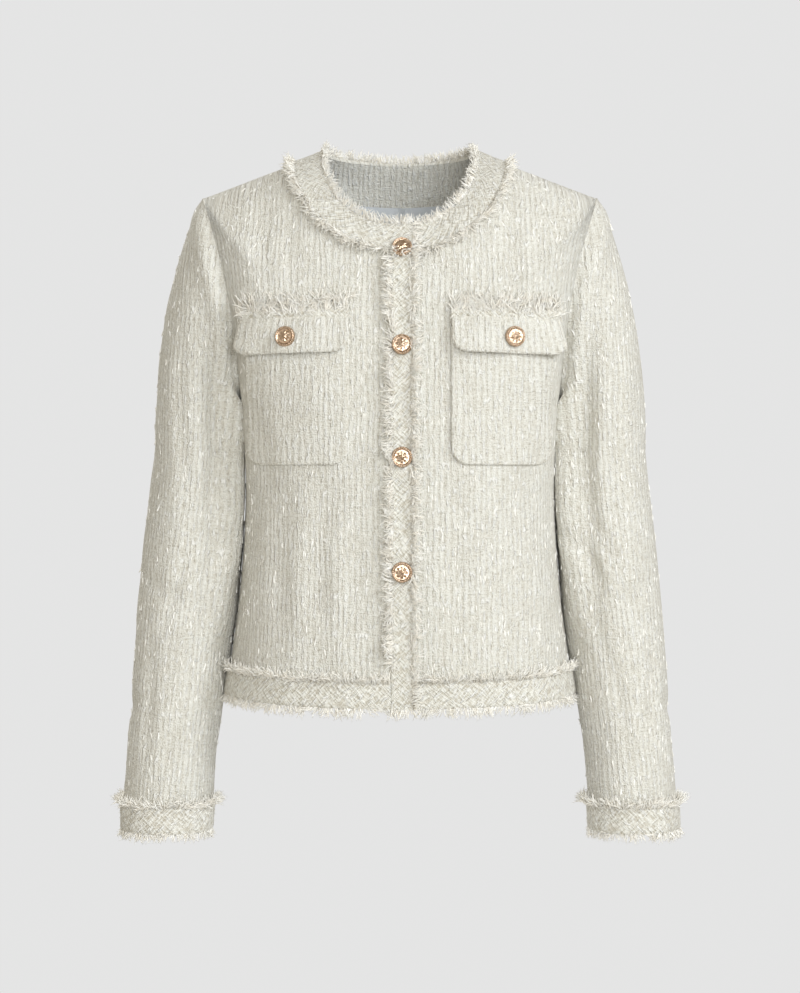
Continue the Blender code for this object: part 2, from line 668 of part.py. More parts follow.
def make_body_fringes(grids, normals, look, collection):
    """Frayed edges of the bands: each a strip that follows the band's edge, with locks that stand off it."""
    runs = (
        Run("fringe_neck_inner", 0, 1, False, NECK_INNER_FRINGE, EDGE_LIFT, 0, 1),
        Run("fringe_neck_outer", 1, 2, True, NECK_OUTER_FRINGE, NECK_FRINGE_LIFT, 1, 2),
        Run("fringe_hem_upper", -2, -3, True, HEM_UPPER_FRINGE, FRINGE_LIFT, 1, 3),
        Run("fringe_hem_lower", -1, -2, False, HEM_LOWER_FRINGE, EDGE_LIFT, 0, 4),
    )
    for run in runs:
        edge, other = round_the_body(grids, [run.edge, run.other], run.right_skip)
        away = unit(other - edge) * (1 if run.towards else -1)
        ways = round_the_body(normals, [run.edge], run.right_skip)[0]
        ends = (BESIDE_PLACKET if run.right_skip else STRIP_END, STRIP_END)
        fringe(run.name, edge, away, ways, run.sizes, run.lift, look, collection, ends=ends, seed=run.seed)
    front, ways = grids["front_right"][1:], normals["front_right"][1:]
    fringe("fringe_placket_right", front[:, 1], unit(front[:, 2] - front[:, 1]), ways[:, 1],
           PLACKET_FRINGE, FRINGE_LIFT, look, collection, ends=PLACKET_FRINGE_ENDS, seed=5)
    fringe("fringe_placket_left", front[:, 0], unit(front[:, 0] - front[:, 1]), ways[:, 0],
           PLACKET_FRINGE, FRINGE_LIFT, look, collection, ends=(STRIP_END, STRIP_END), seed=6)


def make_cuff_fringes(grids, normals, look, collection):
    for side, seed in (("right", 11), ("left", 21)):
        tube, ways = grids["sleeve_" + side], normals["sleeve_" + side]
        top = -CUFF_RINGS
        fringe("fringe_cuff_upper_" + side, tube[top], unit(tube[top - 1] - tube[top]), ways[top],
               CUFF_UPPER_FRINGE, FRINGE_LIFT, look, collection, closed=True, seed=seed)
        fringe("fringe_cuff_lower_" + side, tube[-1], unit(tube[-1] - tube[-2]), ways[-1],
               CUFF_LOWER_FRINGE, EDGE_LIFT, look, collection, closed=True, seed=seed + 1)


def add_button(name, point, way, look, collection):
    """A domed shank button, turned from its half section."""
    mesh = bpy.data.meshes.new(name)
    profile = [(share * BUTTON_RADIUS, 0, height) for share, height in BUTTON_PROFILE]
    mesh.from_pydata(profile, [(i, i + 1) for i in range(len(profile) - 1)], [])
    button = add_object(name, mesh, look, collection)
    button.matrix_world = Matrix.Translation(point) @ Vector(way).to_track_quat("Z", "Y").to_matrix().to_4x4()
    turn = button.modifiers.new("turned", "SCREW")
    turn.steps = turn.render_steps = BUTTON_SIDES
    turn.use_merge_vertices = True
    turn.merge_threshold = 0.0001
    turn.use_smooth_shade = True


def make_buttons(looks, collection):
    on_band = SEAM_GAP + BAND_CLOTH + BUTTON_GAP
    for number, z in enumerate(BUTTON_HEIGHTS, 1):
        point, way = front_at(abs(BUTTON_X), z)
        way = unit(way * (0, 1, 1))
        point = np.array([BUTTON_X, point[1], point[2]])
        add_button(f"button_front_{number}", point + way * on_band, way, looks["gold"], collection)
    on_flap = FLAP_ROWS[-2].lift + FLAP_CLOTH + BUTTON_GAP
    point, way = front_at(POCKET_BUTTON_X, POCKET_BUTTON_Z)
    for side, turn in (("left", 1), ("right", -1)):
        flipped = np.array([turn, 1, 1])
        add_button("button_pocket_" + side, (point + way * on_flap) * flipped, way * flipped,
                   looks["gold"], collection)


def build():
    clear_scene()
    collection = bpy.data.collections.new("cropped_tweed_jacket")
    bpy.context.scene.collection.children.link(collection)
    looks = {
        "tweed": material("cream_tweed", (0.78, 0.75, 0.66), 0.9),
        "trim": material("bias_tweed", (0.80, 0.77, 0.69), 0.9),
        "yarn": material("frayed_yarn", (0.85, 0.83, 0.76), 0.8),
        "satin": material("grey_satin", (0.66, 0.67, 0.68), 0.45),
        "gold": material("pale_gold", (0.80, 0.58, 0.38), 0.3, 1.0),
    }
    grids, normals, stretch = make_panels(looks, collection)
    make_body_bands(grids, normals, stretch, looks["trim"], collection)
    make_cuff_bands(grids, normals, stretch, looks["trim"], collection)
    make_back_insides(grids, normals, stretch, looks, collection)
    make_pockets(looks, collection)
    make_body_fringes(grids, normals, looks["yarn"], collection)
    make_cuff_fringes(grids, normals, looks["yarn"], collection)
    make_buttons(looks, collection)


build()
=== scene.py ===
# %% [markdown]
# # A cropped tweed jacket, dressed piece by piece
#
# The solids of this jacket are already packed: a rigid shape for every cut piece of cloth. This lesson puts
# the looks on them. Each panel becomes a thin two-sided shell with creases, each frayed edge becomes
# loose yarn, and each button gets its relief. The first cell loads the solids, which also set the scale:
# one unit is a metre, the front faces -Y and the wearer's left arm is on +X.

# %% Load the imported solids
import json
from collections import namedtuple
from math import cos, pi, radians, sin

import bmesh
import bpy
import mathutils
import numpy as np
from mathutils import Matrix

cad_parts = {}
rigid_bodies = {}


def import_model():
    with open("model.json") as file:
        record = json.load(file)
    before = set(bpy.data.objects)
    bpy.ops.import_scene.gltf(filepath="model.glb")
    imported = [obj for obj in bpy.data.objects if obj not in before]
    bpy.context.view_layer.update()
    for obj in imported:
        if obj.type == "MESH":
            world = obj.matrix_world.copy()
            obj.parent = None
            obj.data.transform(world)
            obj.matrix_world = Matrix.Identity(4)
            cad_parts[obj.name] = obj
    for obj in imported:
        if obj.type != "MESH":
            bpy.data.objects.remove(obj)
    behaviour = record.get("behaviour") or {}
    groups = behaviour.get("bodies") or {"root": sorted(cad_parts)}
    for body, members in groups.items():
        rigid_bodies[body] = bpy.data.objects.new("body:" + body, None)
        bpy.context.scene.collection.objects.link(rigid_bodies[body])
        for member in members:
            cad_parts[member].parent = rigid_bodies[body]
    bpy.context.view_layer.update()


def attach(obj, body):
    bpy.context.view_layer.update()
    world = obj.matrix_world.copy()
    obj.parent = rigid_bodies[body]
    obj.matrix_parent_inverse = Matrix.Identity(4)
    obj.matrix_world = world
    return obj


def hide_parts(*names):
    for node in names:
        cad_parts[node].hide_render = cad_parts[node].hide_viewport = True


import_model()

# %% [markdown]
# ## The shape of the body
#
# The cut is a handful of curves. Each row below is one curve from the centre line out to the shoulder seam,
# armhole or side seam, numbered 0 at the neckline to 8 at the hem. Reading them between rows gives a point
# anywhere on the cloth, so the same few numbers can drive a coarse solid or a fine shell. They are repeated
# here from the solids, because a shell only fits if it is drawn from the same curves.

# %% The cut, in metres
Section = namedtuple("Section", "y z reach bend_x bend_y bend_z")
FRONT = (
    Section(-0.0745, -0.0775, 0.055, 0.0745, -0.050, -0.034),   # neckline
    Section(-0.0905, -0.1040, 0.078, 0.1040, -0.062, -0.031),   # neck band's outer edge
    Section(-0.1025, -0.1400, 0.100, 0.1830, -0.062, -0.060),   # shoulder tip
    Section(-0.1125, -0.1800, 0.100, 0.1400, -0.088, -0.108),   # upper armhole
    Section(-0.1185, -0.2220, 0.098, 0.1400, -0.098, -0.200),   # lower armhole
    Section(-0.1220, -0.2550, 0.105, 0.1500, -0.085, -0.244),   # underarm
    Section(-0.1220, -0.3300, 0.100, 0.1460, -0.082, -0.322),   # waist
    Section(-0.1230, -0.4250, 0.103, 0.1520, -0.083, -0.421),   # hip
    Section(-0.1255, -0.5180, 0.110, 0.1650, -0.085, -0.5125),  # hem
)
BACK = (
    Section(0.0600, -0.0030, 0.042, 0.0735, 0.040, 0.002),
    Section(0.0775, -0.0310, 0.068, 0.1040, 0.056, -0.018),
    Section(0.0955, -0.0820, 0.100, 0.1840, 0.056, -0.056),
    Section(0.1080, -0.1380, 0.105, 0.1480, 0.088, -0.104),
    Section(0.1120, -0.1920, 0.102, 0.1430, 0.096, -0.193),
    Section(0.1110, -0.2470, 0.105, 0.1500, 0.080, -0.243),
    Section(0.1030, -0.3280, 0.098, 0.1460, 0.072, -0.322),
    Section(0.1080, -0.4230, 0.102, 0.1520, 0.076, -0.421),
    Section(0.1180, -0.5160, 0.110, 0.1650, 0.083, -0.5125),
)
SIDE_SEAM = ((0.1500, -0.2395), (0.1460, -0.3200), (0.1520, -0.4200), (0.1650, -0.5115))   # x, z
NECK_BAND_ROW, FACING_ROW, SHOULDER_ROW, UNDERARM_ROW, HEM_BAND_ROW, HEM_ROW = 1, 1.25, 2, 5, 7.73, 8
SHOULDER_HALF, SHOULDER_DROP, NECK_HALF, NECK_BAND_AT_SEAM = 0.187, 0.044, 0.0715, 0.1005
UNDERARM_X, UNDERARM_Z, ARMHOLE_HALF_DEPTH = 0.150, -0.2395, 0.060
PANEL_CLOTH, BAND_CLOTH, FLAP_CLOTH = 0.0022, 0.0016, 0.0020
FACING_CLOTH, LINING_CLOTH, SEAM_GAP = 0.0015, 0.0010, 0.0003
FRONT_EDGE, PLACKET_INNER = 0.0118, 0.0082
UNDERLAP_EDGE, UNDERLAP_DEPTH, LEFT_TRIM_START, LEFT_RISEN = 0.0150, 0.0032, 0.0136, 0.22
print("shoulder width:", 2 * SHOULDER_HALF, "front length:", round(-FRONT[8].z, 3))


# %% Smooth curves through table rows
def unit(vectors):
    return vectors / np.maximum(np.linalg.norm(vectors, axis=-1, keepdims=True), 1e-12)


def eased_curve(t, start, end, leave, arrive):
    """Goes from start to end as t goes from 0 to 1, and sets out and arrives with these slopes."""
    return (
        (2 * t**3 - 3 * t**2 + 1) * start + (t**3 - 2 * t**2 + t) * leave
        + (3 * t**2 - 2 * t**3) * end + (t**3 - t**2) * arrive
    )


def through(table, at):
    """Smooth values between evenly spaced table rows; `at` is an array of row numbers."""
    table, at = np.asarray(table, float), np.asarray(at, float)
    padded = np.concatenate([[2 * table[0] - table[1]], table, [2 * table[-1] - table[-2]]])
    low = np.clip(np.floor(at).astype(int), 0, len(table) - 2)
    t = (at - low)[..., None]
    before, start, end, after = (padded[low + i] for i in range(4))
    return eased_curve(t, start, end, (end - before) / 2, (after - start) / 2)


def smooth_step(low, high, values):
    t = np.clip((values - low) / (high - low), 0, 1)
    return t * t * (3 - 2 * t)


print("front neckline to hem at the centre:", through(FRONT, np.array([0.0, 4.5, 8.0]))[:, 1].round(4))


# %% Points of the body
LEAST_ACROSS = -0.2
HALVINGS, ROW_HALVINGS = 26, 24        # how often a range is halved to find a place in it


def armhole(turn):
    """turn 0 at the underarm, 180 at the shoulder tip, negative on the back."""
    middle = (UNDERARM_Z - SHOULDER_DROP) / 2
    half = (-SHOULDER_DROP - UNDERARM_Z) / 2
    z = middle - half * np.cos(np.radians(turn))
    x = UNDERARM_X + (SHOULDER_HALF - UNDERARM_X) * ((z - UNDERARM_Z) / (2 * half)) ** 2
    return np.stack([x, -ARMHOLE_HALF_DEPTH * np.sin(np.radians(turn)), z], axis=-1)


def outer_end(rows, back):
    """Where each row meets the shoulder seam, the armhole or the side seam."""
    x = np.interp(rows, (0, NECK_BAND_ROW, SHOULDER_ROW), (NECK_HALF, NECK_BAND_AT_SEAM, SHOULDER_HALF))
    slope = SHOULDER_DROP / (SHOULDER_HALF - NECK_HALF)
    shoulder = np.stack([x, 0 * x, -(x - NECK_HALF) * slope], axis=-1)
    turn = 180 * (UNDERARM_ROW - rows) / (UNDERARM_ROW - SHOULDER_ROW)
    arm = armhole(-turn if back else turn)
    side = through(SIDE_SEAM, np.maximum(rows - UNDERARM_ROW, 0))
    side = np.stack([side[..., 0], 0 * x, side[..., 1]], axis=-1)
    place = rows[..., None]
    return np.where(place <= SHOULDER_ROW, shoulder, np.where(place <= UNDERARM_ROW, arm, side))


def body_points(rows, across, back=False):
    """The +X half: across 0 at the centre line to 1 at the seam, and below 0 just past the centre."""
    rows, across = np.broadcast_arrays(np.asarray(rows, float), np.asarray(across, float))
    sizes = through(BACK if back else FRONT, rows)
    y, z, reach, bend = sizes[..., 0], sizes[..., 1], sizes[..., 2], sizes[..., 3:]
    start = np.stack([0 * y, y, z], axis=-1)
    level = np.stack([reach, 0 * y, 0 * y], axis=-1)
    t = across[..., None]
    curve = (1 - t)**3 * start + 3 * t * (1 - t)**2 * (start + level) + 3 * t**2 * (1 - t) * bend
    curve = curve + t**3 * outer_end(rows, back)
    return np.where(t < 0, start + 3 * level * t, curve)


def across_at(rows, x):
    """The share across the front where each row reaches x, found by halving the range."""
    low, high = np.full(np.shape(rows), LEAST_ACROSS), np.ones(np.shape(rows))
    for _ in range(HALVINGS):
        middle = (low + high) / 2
        short = body_points(rows, middle)[..., 0] < x
        low, high = np.where(short, middle, low), np.where(short, high, middle)
    return (low + high) / 2


print("bust half width:", body_points(5.0, 1.0)[0].round(3))

# %% [markdown]
# ## The shape of a sleeve
#
# Below the cap a sleeve is a tube with a slightly bent axis, so each ring needs only an inner edge, an outer
# edge, a middle and a depth. The cap joins the armhole to the first full ring with curves that leave the
# armhole outwards, which is what makes a set-in shoulder roll over the seam and not start flat.

# %% Points of the sleeve
SLEEVE = np.array((    # height, inner edge, outer edge, middle, half of the depth
    (-0.285, 0.1500, 0.2335, 0.004, 0.0540),
    (-0.350, 0.1540, 0.2400, -0.002, 0.0525),
    (-0.430, 0.1600, 0.2475, -0.010, 0.0500),
    (-0.520, 0.1690, 0.2530, -0.019, 0.0470),
    (-0.610, 0.1760, 0.2585, -0.027, 0.0450),
    (-0.638, 0.1775, 0.2600, -0.029, 0.0450),
))
CAP_OUTWARD, CAP_DOWNWARD, CAP_FULLNESS = (0.025, 0.185, -0.110), (-0.110, -0.100), 0.020
CUFF_BAND_Z = -0.610


def sleeve_sizes(z):
    return np.moveaxis(through(SLEEVE, np.interp(-z, -SLEEVE[:, 0], np.arange(len(SLEEVE)))), -1, 0)


def tube_points(z, turn):
    _, inner, outer, y, half_depth = sleeve_sizes(z)
    x = (inner + outer) / 2 - (outer - inner) / 2 * np.cos(np.radians(turn))
    return np.stack(np.broadcast_arrays(x, y - half_depth * np.sin(np.radians(turn)), z), axis=-1)


def cap_points(share, turn):
    share, turn = np.broadcast_arrays(share, turn)
    start, end = armhole(turn), tube_points(np.full(turn.shape, SLEEVE[0, 0]), turn)
    rise = (1 - np.cos(np.radians(turn))) / 2
    out = CAP_OUTWARD[0] + CAP_OUTWARD[1] * rise + CAP_OUTWARD[2] * rise**2
    down = CAP_DOWNWARD[0] * rise + CAP_DOWNWARD[1] * rise**2
    leave = np.stack([out, -CAP_FULLNESS * np.sin(np.radians(turn)), down], axis=-1)
    return eased_curve(share[..., None], start, end, leave, (end - start) * (0, 0, 1))


print("cuff width:", round(SLEEVE[-1, 2] - SLEEVE[-1, 1], 4))

# %% [markdown]
# ## Creases
#
# Cloth that hangs is never smooth, but tweed is thick, so its creases are few, soft and uneven. They could
# come from a cloth simulation; here they are listed one by one, because a rigid garment shape already exists
# and only needs a few millimetres of life. Each crease is a trough with a low ridge beside it, which fades at
# its ends and wanders a little. On top lies a broad unevenness made of a few long waves. Both fade out at the
# seams, so that neighbouring pieces still meet.

# %% Creases, listed one by one
Crease = namedtuple("Crease", "x_top z_top x_low z_low width depth")
FRONT_CREASES = (
    Crease(-0.128, -0.050, -0.122, -0.150, 0.009, 0.0022),    # from the shoulder into the chest
    Crease(-0.100, -0.062, -0.104, -0.155, 0.008, 0.0014),
    Crease(-0.148, -0.215, -0.105, -0.345, 0.011, 0.0020),    # underarm towards the waist
    Crease(-0.070, -0.290, -0.072, -0.500, 0.011, 0.0024),
    Crease(-0.106, -0.330, -0.112, -0.490, 0.010, 0.0018),
    Crease(-0.045, -0.330, -0.040, -0.480, 0.009, 0.0014),
    Crease(0.100, -0.055, 0.104, -0.148, 0.009, 0.0020),
    Crease(0.130, -0.060, 0.126, -0.160, 0.008, 0.0014),
    Crease(0.146, -0.220, 0.112, -0.350, 0.011, 0.0020),
    Crease(0.050, -0.300, 0.058, -0.500, 0.010, 0.0020),
    Crease(0.098, -0.330, 0.110, -0.505, 0.011, 0.0020),
    Crease(0.000, -0.120, 0.001, -0.172, 0.008, 0.0010),      # the placket dips between its buttons
    Crease(0.002, -0.210, 0.001, -0.272, 0.008, 0.0012),
    Crease(0.001, -0.312, 0.002, -0.376, 0.008, 0.0012),
)
BACK_CREASES = (
    Crease(-0.120, -0.070, -0.105, -0.235, 0.014, 0.0034),
    Crease(0.115, -0.075, 0.108, -0.225, 0.013, 0.0030),
    Crease(-0.060, -0.200, -0.075, -0.400, 0.016, 0.0028),
    Crease(0.066, -0.230, 0.070, -0.440, 0.014, 0.0026),
    Crease(-0.004, -0.300, 0.004, -0.500, 0.013, 0.0022),
    Crease(-0.130, -0.250, -0.100, -0.340, 0.012, 0.0026),
    Crease(0.132, -0.245, 0.098, -0.330, 0.012, 0.0026),
    Crease(0.112, -0.380, 0.124, -0.500, 0.012, 0.0022),
    Crease(-0.112, -0.390, -0.122, -0.505, 0.012, 0.0020),
)
RIDGE_BESIDE = 1.7         # crease widths from the trough to its ridge
RIDGE_SHARE = 0.45
WANDER, FINE_WANDER = 0.0026, 0.0012


def trough(apart):
    """The cross-section of a crease: 1 in the trough, a little below 0 on the ridges beside it."""
    return np.exp(-apart**2) - RIDGE_SHARE * np.exp(-(np.abs(apart) - RIDGE_BESIDE) ** 2)


def crease_depth(creases, x, z):
    total = np.zeros(np.shape(x))
    for number, crease in enumerate(creases):
        along = np.array([crease.x_low - crease.x_top, crease.z_low - crease.z_top])
        length = np.linalg.norm(along)
        along = along / length
        off_x, off_z = x - crease.x_top, z - crease.z_top
        share = (off_x * along[0] + off_z * along[1]) / length
        wander = WANDER * np.sin(9 * share + 2.1 * number) + FINE_WANDER * np.sin(23 * share + number)
        apart = (off_x * along[1] - off_z * along[0] + wander) / crease.width
        fade = np.sin(pi * np.clip(share, 0, 1)) ** 0.8 * (1 + 0.25 * np.sin(17 * share + 1.3 * number))
        total += crease.depth * fade * trough(apart)
    return total


print("deepest front crease:", max(crease.depth for crease in FRONT_CREASES) * 1000, "mm")

# %% Long waves and the relief of the body
BODY_WAVES, BODY_WAVE_HEIGHT = (0.05, 0.07, 0.09, 0.12, 0.16), 0.0009
SIDE_FADE = (0.015, 0.060)      # creases grow from none to full over this distance from the side seam


def unevenness(points, wavelengths, seed):
    """A few long waves in random directions, between about -1 and 1."""
    chance = np.random.RandomState(seed)
    total = np.zeros(points.shape[:-1])
    for wavelength in wavelengths:
        total += np.sin(points @ (unit(chance.normal(size=3)) * 2 * pi / wavelength) + chance.uniform(0, 6.3))
    return total / len(wavelengths)


def body_relief(points):
    """How far the cloth of the body sinks in at each point."""
    x, y, z = np.moveaxis(points, -1, 0)
    front, back = smooth_step(*SIDE_FADE, -y), smooth_step(*SIDE_FADE, y)
    waves = BODY_WAVE_HEIGHT * unevenness(points, BODY_WAVES, 3)
    return (front * (crease_depth(FRONT_CREASES, x, z) + waves)
            + back * (crease_depth(BACK_CREASES, x, z) + waves))


probes = np.array([[0.05, -0.12, -0.40], [0.05, 0.11, -0.40]])
print("relief in front and behind, in mm:", (body_relief(probes) * 1000).round(2))

# %% [markdown]
# ## Yarn, cloth and metal
#
# The finishes come before the pieces. Tweed of this kind is woven from thick-and-thin fancy yarn, so its
# pattern is never a regular grid: irregular warp ribs run down the cloth, short weft floats cross them, and
# fluffy loops and shiny slubs break the surface. Stretched noise read along the cloth's own UV map, which is
# in metres, gives just that, and the same heights drive the colour and the bump so that the gaps between the
# yarns are both darker and deeper.

# %% Helpers for materials
def add_node(tree, kind, inputs=None, **settings):
    made = tree.nodes.new(kind)
    for name, value in settings.items():
        setattr(made, name, value)
    for name, value in (inputs or {}).items():
        if isinstance(value, bpy.types.NodeSocket):
            tree.links.new(value, made.inputs[name])
        else:
            made.inputs[name].default_value = value
    return made


def calc(tree, operation, *values):
    return add_node(tree, "ShaderNodeMath", dict(enumerate(values)), operation=operation).outputs["Value"]


def new_material(name, roughness, **constants):
    """A material with its shader's constants on the shader's own sockets."""
    made = bpy.data.materials.new(name)
    made.use_nodes = True
    shader = made.node_tree.nodes["Principled BSDF"]
    shader.inputs["Roughness"].default_value = roughness
    for socket, value in constants.items():
        shader.inputs[socket.replace("_", " ")].default_value = value
    return made, made.node_tree, shader


def turned_to(tree, vector, turn):
    return add_node(tree, "ShaderNodeMapping", {"Vector": vector, "Rotation": (0, 0, radians(turn))},
                    vector_type="TEXTURE").outputs["Vector"]


def stretched_noise(tree, vector, scale, detail=1.0, turn=0.0, flat=True):
    """Noise whose spots are `1 / scale` across in each direction, in metres."""
    sized = add_node(tree, "ShaderNodeVectorMath", {0: turned_to(tree, vector, turn), 1: scale},
                     operation="MULTIPLY")
    return add_node(tree, "ShaderNodeTexNoise",
                    {"Vector": sized.outputs["Vector"], "Scale": 1.0, "Detail": detail, "Roughness": 0.5},
                    noise_dimensions="2D" if flat else "3D").outputs["Fac"]


def weighted_sum(tree, *terms):
    """Adds up (value, share) pairs."""
    total = 0.0
    for value, share in terms:
        total = calc(tree, "MULTIPLY_ADD", value, share, total)
    return total


def remap(tree, value, low, high, to_low=0.0, to_high=1.0):
    return add_node(tree, "ShaderNodeMapRange",
                    {"Value": value, "From Min": low, "From Max": high, "To Min": to_low, "To Max": to_high},
                    clamp=True).outputs["Result"]


def mix_colour(tree, share, first, second):
    made = add_node(tree, "ShaderNodeMix", data_type="RGBA")
    for socket, value in ((0, share), (6, first), (7, second)):
        if isinstance(value, bpy.types.NodeSocket):
            tree.links.new(value, made.inputs[socket])
        else:
            made.inputs[socket].default_value = value if socket == 0 else (*value, 1)
    return made.outputs[2]


def paint(tree, shader, colour):
    tree.links.new(colour, shader.inputs["Base Color"])


def bump(tree, shader, height, depth, strength=1.0):
    made = add_node(tree, "ShaderNodeBump", {"Height": height, "Distance": depth, "Strength": strength})
    tree.links.new(made.outputs["Normal"], shader.inputs["Normal"])


print("material helpers ready")

# %% [markdown]
# ### Tweed
#
# Thick cords run down the cloth about 5.4 mm apart. A sine across the warp gives them, pushed about by noise
# so that they wander and swell, and finer noise drawn out each way gives the thin threads. Dark flecks show
# only in the grooves between cords; they are partly real dark flecks and partly painted shade in the grooves.
# The trim is the same cloth cut on the bias, so it turns the pattern by 45 degrees and shows both sets of
# threads about equally.

# %% Tweed, straight and on the bias
CREAM, SHADOW_CREAM, GREY_CREAM = (0.84, 0.825, 0.755), (0.56, 0.515, 0.42), (0.72, 0.71, 0.66)
# The pale slub colour is partly the slubs' own pale yarn and partly a painted glint of their shine.
PALE_SLUB_AND_GLINT, DARK_FLECK_AND_GROOVE_SHADE = (0.95, 0.935, 0.885), (0.36, 0.315, 0.24)
CORD_SPACING, CORD_WANDER, THREAD_DEPTH = 0.0054, 3.4, 0.0017


def cords(tree, uv, spacing, turn, wander):
    """Rounded cords `spacing` apart across the cloth, which sway by up to `wander` radians."""
    across = add_node(tree, "ShaderNodeSeparateXYZ", {"Vector": turned_to(tree, uv, turn)}).outputs["X"]
    sway = stretched_noise(tree, uv, (90, 22, 1), 2.0, turn)
    angle = weighted_sum(tree, (across, 2 * pi / spacing), (sway, 2 * wander))
    return remap(tree, calc(tree, "SINE", angle), -0.9, 0.6)


def tweed(name, turn, cord_share, warp_share, weft_share, loop_share, contrast):
    """The shares say how much the thick cords, the fine warp, the weft and the loops show."""
    made, tree, shader = new_material(name, 0.92, Sheen_Weight=0.2, Sheen_Roughness=0.6,
                                      Specular_IOR_Level=0.2)
    uv = add_node(tree, "ShaderNodeUVMap", uv_map="cloth").outputs["UV"]

    def threads(scale, detail, low, high, extra_turn=0):
        return remap(tree, stretched_noise(tree, uv, scale, detail, turn + extra_turn), low, high)

    thick = cords(tree, uv, CORD_SPACING, turn, CORD_WANDER)
    warp = threads((660, 120, 1), 1.5, 0.30, 0.68)
    weft = threads((140, 600, 1), 1.5, 0.32, 0.68)
    loops = threads((780, 720, 1), 2.5, 0.30, 0.70)
    slubs = threads((430, 120, 1), 0.0, 0.67, 0.78, 3)
    flecks = threads((560, 210, 1), 1.0, 0.56, 0.70)
    broad = stretched_noise(tree, uv, (30, 10, 1), 1.0, turn)
    fading = remap(tree, stretched_noise(tree, uv, (45, 30, 1), 1.0, turn), 0.3, 0.7, 0.35, 1.0)
    thick = calc(tree, "MULTIPLY", thick, fading)
    weave = weighted_sum(tree, (thick, cord_share), (warp, warp_share), (weft, weft_share),
                         (loops, loop_share))
    height = weighted_sum(tree, (weave, 1.0), (slubs, 0.5))
    cloth = mix_colour(tree, remap(tree, weave, 0.27, 0.77, 1 - contrast, 1.0), SHADOW_CREAM, CREAM)
    cloth = mix_colour(tree, remap(tree, broad, 0.35, 0.65, 0.0, 0.06), cloth, GREY_CREAM)
    # Slubs are mixed towards the pale colour: partly their real pale yarn, partly a painted glint.
    cloth = mix_colour(tree, weighted_sum(tree, (slubs, 0.8)), cloth, PALE_SLUB_AND_GLINT)
    # Dark flecks laid only where the weave is low: partly real flecks, partly painted shade in the grooves.
    fleck_and_groove_shade = calc(tree, "MULTIPLY", remap(tree, weave, 0.54, 0.32, 0.0, 0.55), flecks)
    paint(tree, shader, mix_colour(tree, fleck_and_groove_shade, cloth, DARK_FLECK_AND_GROOVE_SHADE))
    bump(tree, shader, height, THREAD_DEPTH)
    return made


tweed_cloth = tweed("cream_boucle_tweed", 0, 0.34, 0.22, 0.18, 0.38, 0.66)
bias_cloth = tweed("bias_cut_tweed", 45, 0.14, 0.42, 0.42, 0.14, 0.95)
print("tweed nodes:", len(tweed_cloth.node_tree.nodes))


# %% Yarn and thread
def yarn(name, colour, pale, roughness):
    """Twisted yarn: a fine twist in the bump and patches of two close colours."""
    made, tree, shader = new_material(name, roughness, Sheen_Weight=0.05, Specular_IOR_Level=0.3)
    place = add_node(tree, "ShaderNodeTexCoord").outputs["Object"]
    patches = stretched_noise(tree, place, (160, 160, 160), 1.0, flat=False)
    twist = stretched_noise(tree, place, (1500, 1500, 900), 1.0, flat=False)
    paint(tree, shader, mix_colour(tree, remap(tree, patches, 0.35, 0.65), colour, pale))
    bump(tree, shader, twist, 0.0004, 0.6)
    return made


frayed_yarn = yarn("frayed_yarn", (0.965, 0.92, 0.83), (0.99, 0.97, 0.915), 0.65)
slub_yarn = yarn("glossy_slub_yarn", (0.92, 0.89, 0.82), (0.965, 0.95, 0.905), 0.5)
sewing_thread = yarn("sewing_thread", (0.78, 0.74, 0.65), (0.84, 0.81, 0.73), 0.55)
print("yarns:", frayed_yarn.name, slub_yarn.name, sewing_thread.name)

# %% [markdown]
# ### Satin and gold
#
# The lining is a twill-backed satin: its fine slanted lines only break the shine, so they go into the bump.
# The gold is a metal shader with patches of wear, where both the colour and the roughness change.

# %% Satin and gold
satin, tree, shader = new_material("grey_satin_lining", 0.38, Sheen_Weight=0.15, Specular_IOR_Level=0.45)
uv = add_node(tree, "ShaderNodeUVMap", uv_map="cloth").outputs["UV"]
twill = stretched_noise(tree, uv, (2600, 260, 1), 0.0, 32)
broad = stretched_noise(tree, uv, (14, 9, 1), 1.0)
satin_grey = mix_colour(tree, remap(tree, broad, 0.3, 0.7), (0.61, 0.63, 0.64), (0.70, 0.72, 0.73))
paint(tree, shader, satin_grey)
bump(tree, shader, twill, 0.0002, 0.4)

gold, tree, shader = new_material("rose_gold_plating", 0.25, Metallic=1.0)
place = add_node(tree, "ShaderNodeTexCoord").outputs["Object"]
scuffs = stretched_noise(tree, place, (420, 420, 420), 3.0, flat=False)
grain = stretched_noise(tree, place, (2600, 2600, 2600), 1.0, flat=False)
worn_gold = mix_colour(tree, remap(tree, scuffs, 0.35, 0.7), (0.50, 0.345, 0.23), (0.67, 0.51, 0.385))
paint(tree, shader, worn_gold)
tree.links.new(remap(tree, scuffs, 0.3, 0.7, 0.16, 0.36), shader.inputs["Roughness"])
bump(tree, shader, grain, 0.00005, 0.5)
print("lining and metal:", satin.name, gold.name)

# %% [markdown]
# ## Shells of cloth
#
# A cut piece is a grid of points with an outer face, an inner face and a rim. One function builds every such
# shell and gives it UVs in metres along the cloth's own threads. That matters more than it sounds: with UVs
# squeezed to fit a square, the ribs would change width from panel to panel.

# %% Distances and directions on a grid
def closed(grid, wrap):
    """The grid with its first column again at the end, if it goes all the way round."""
    return np.concatenate([grid, grid[:, :1]], axis=1) if wrap else grid


def step_lengths(grid, axis=0):
    return np.linalg.norm(np.diff(grid, axis=axis), axis=-1)


def from_zero(steps):
    """The running total of a row of steps, starting at 0."""
    return np.concatenate([[0], np.cumsum(steps)])


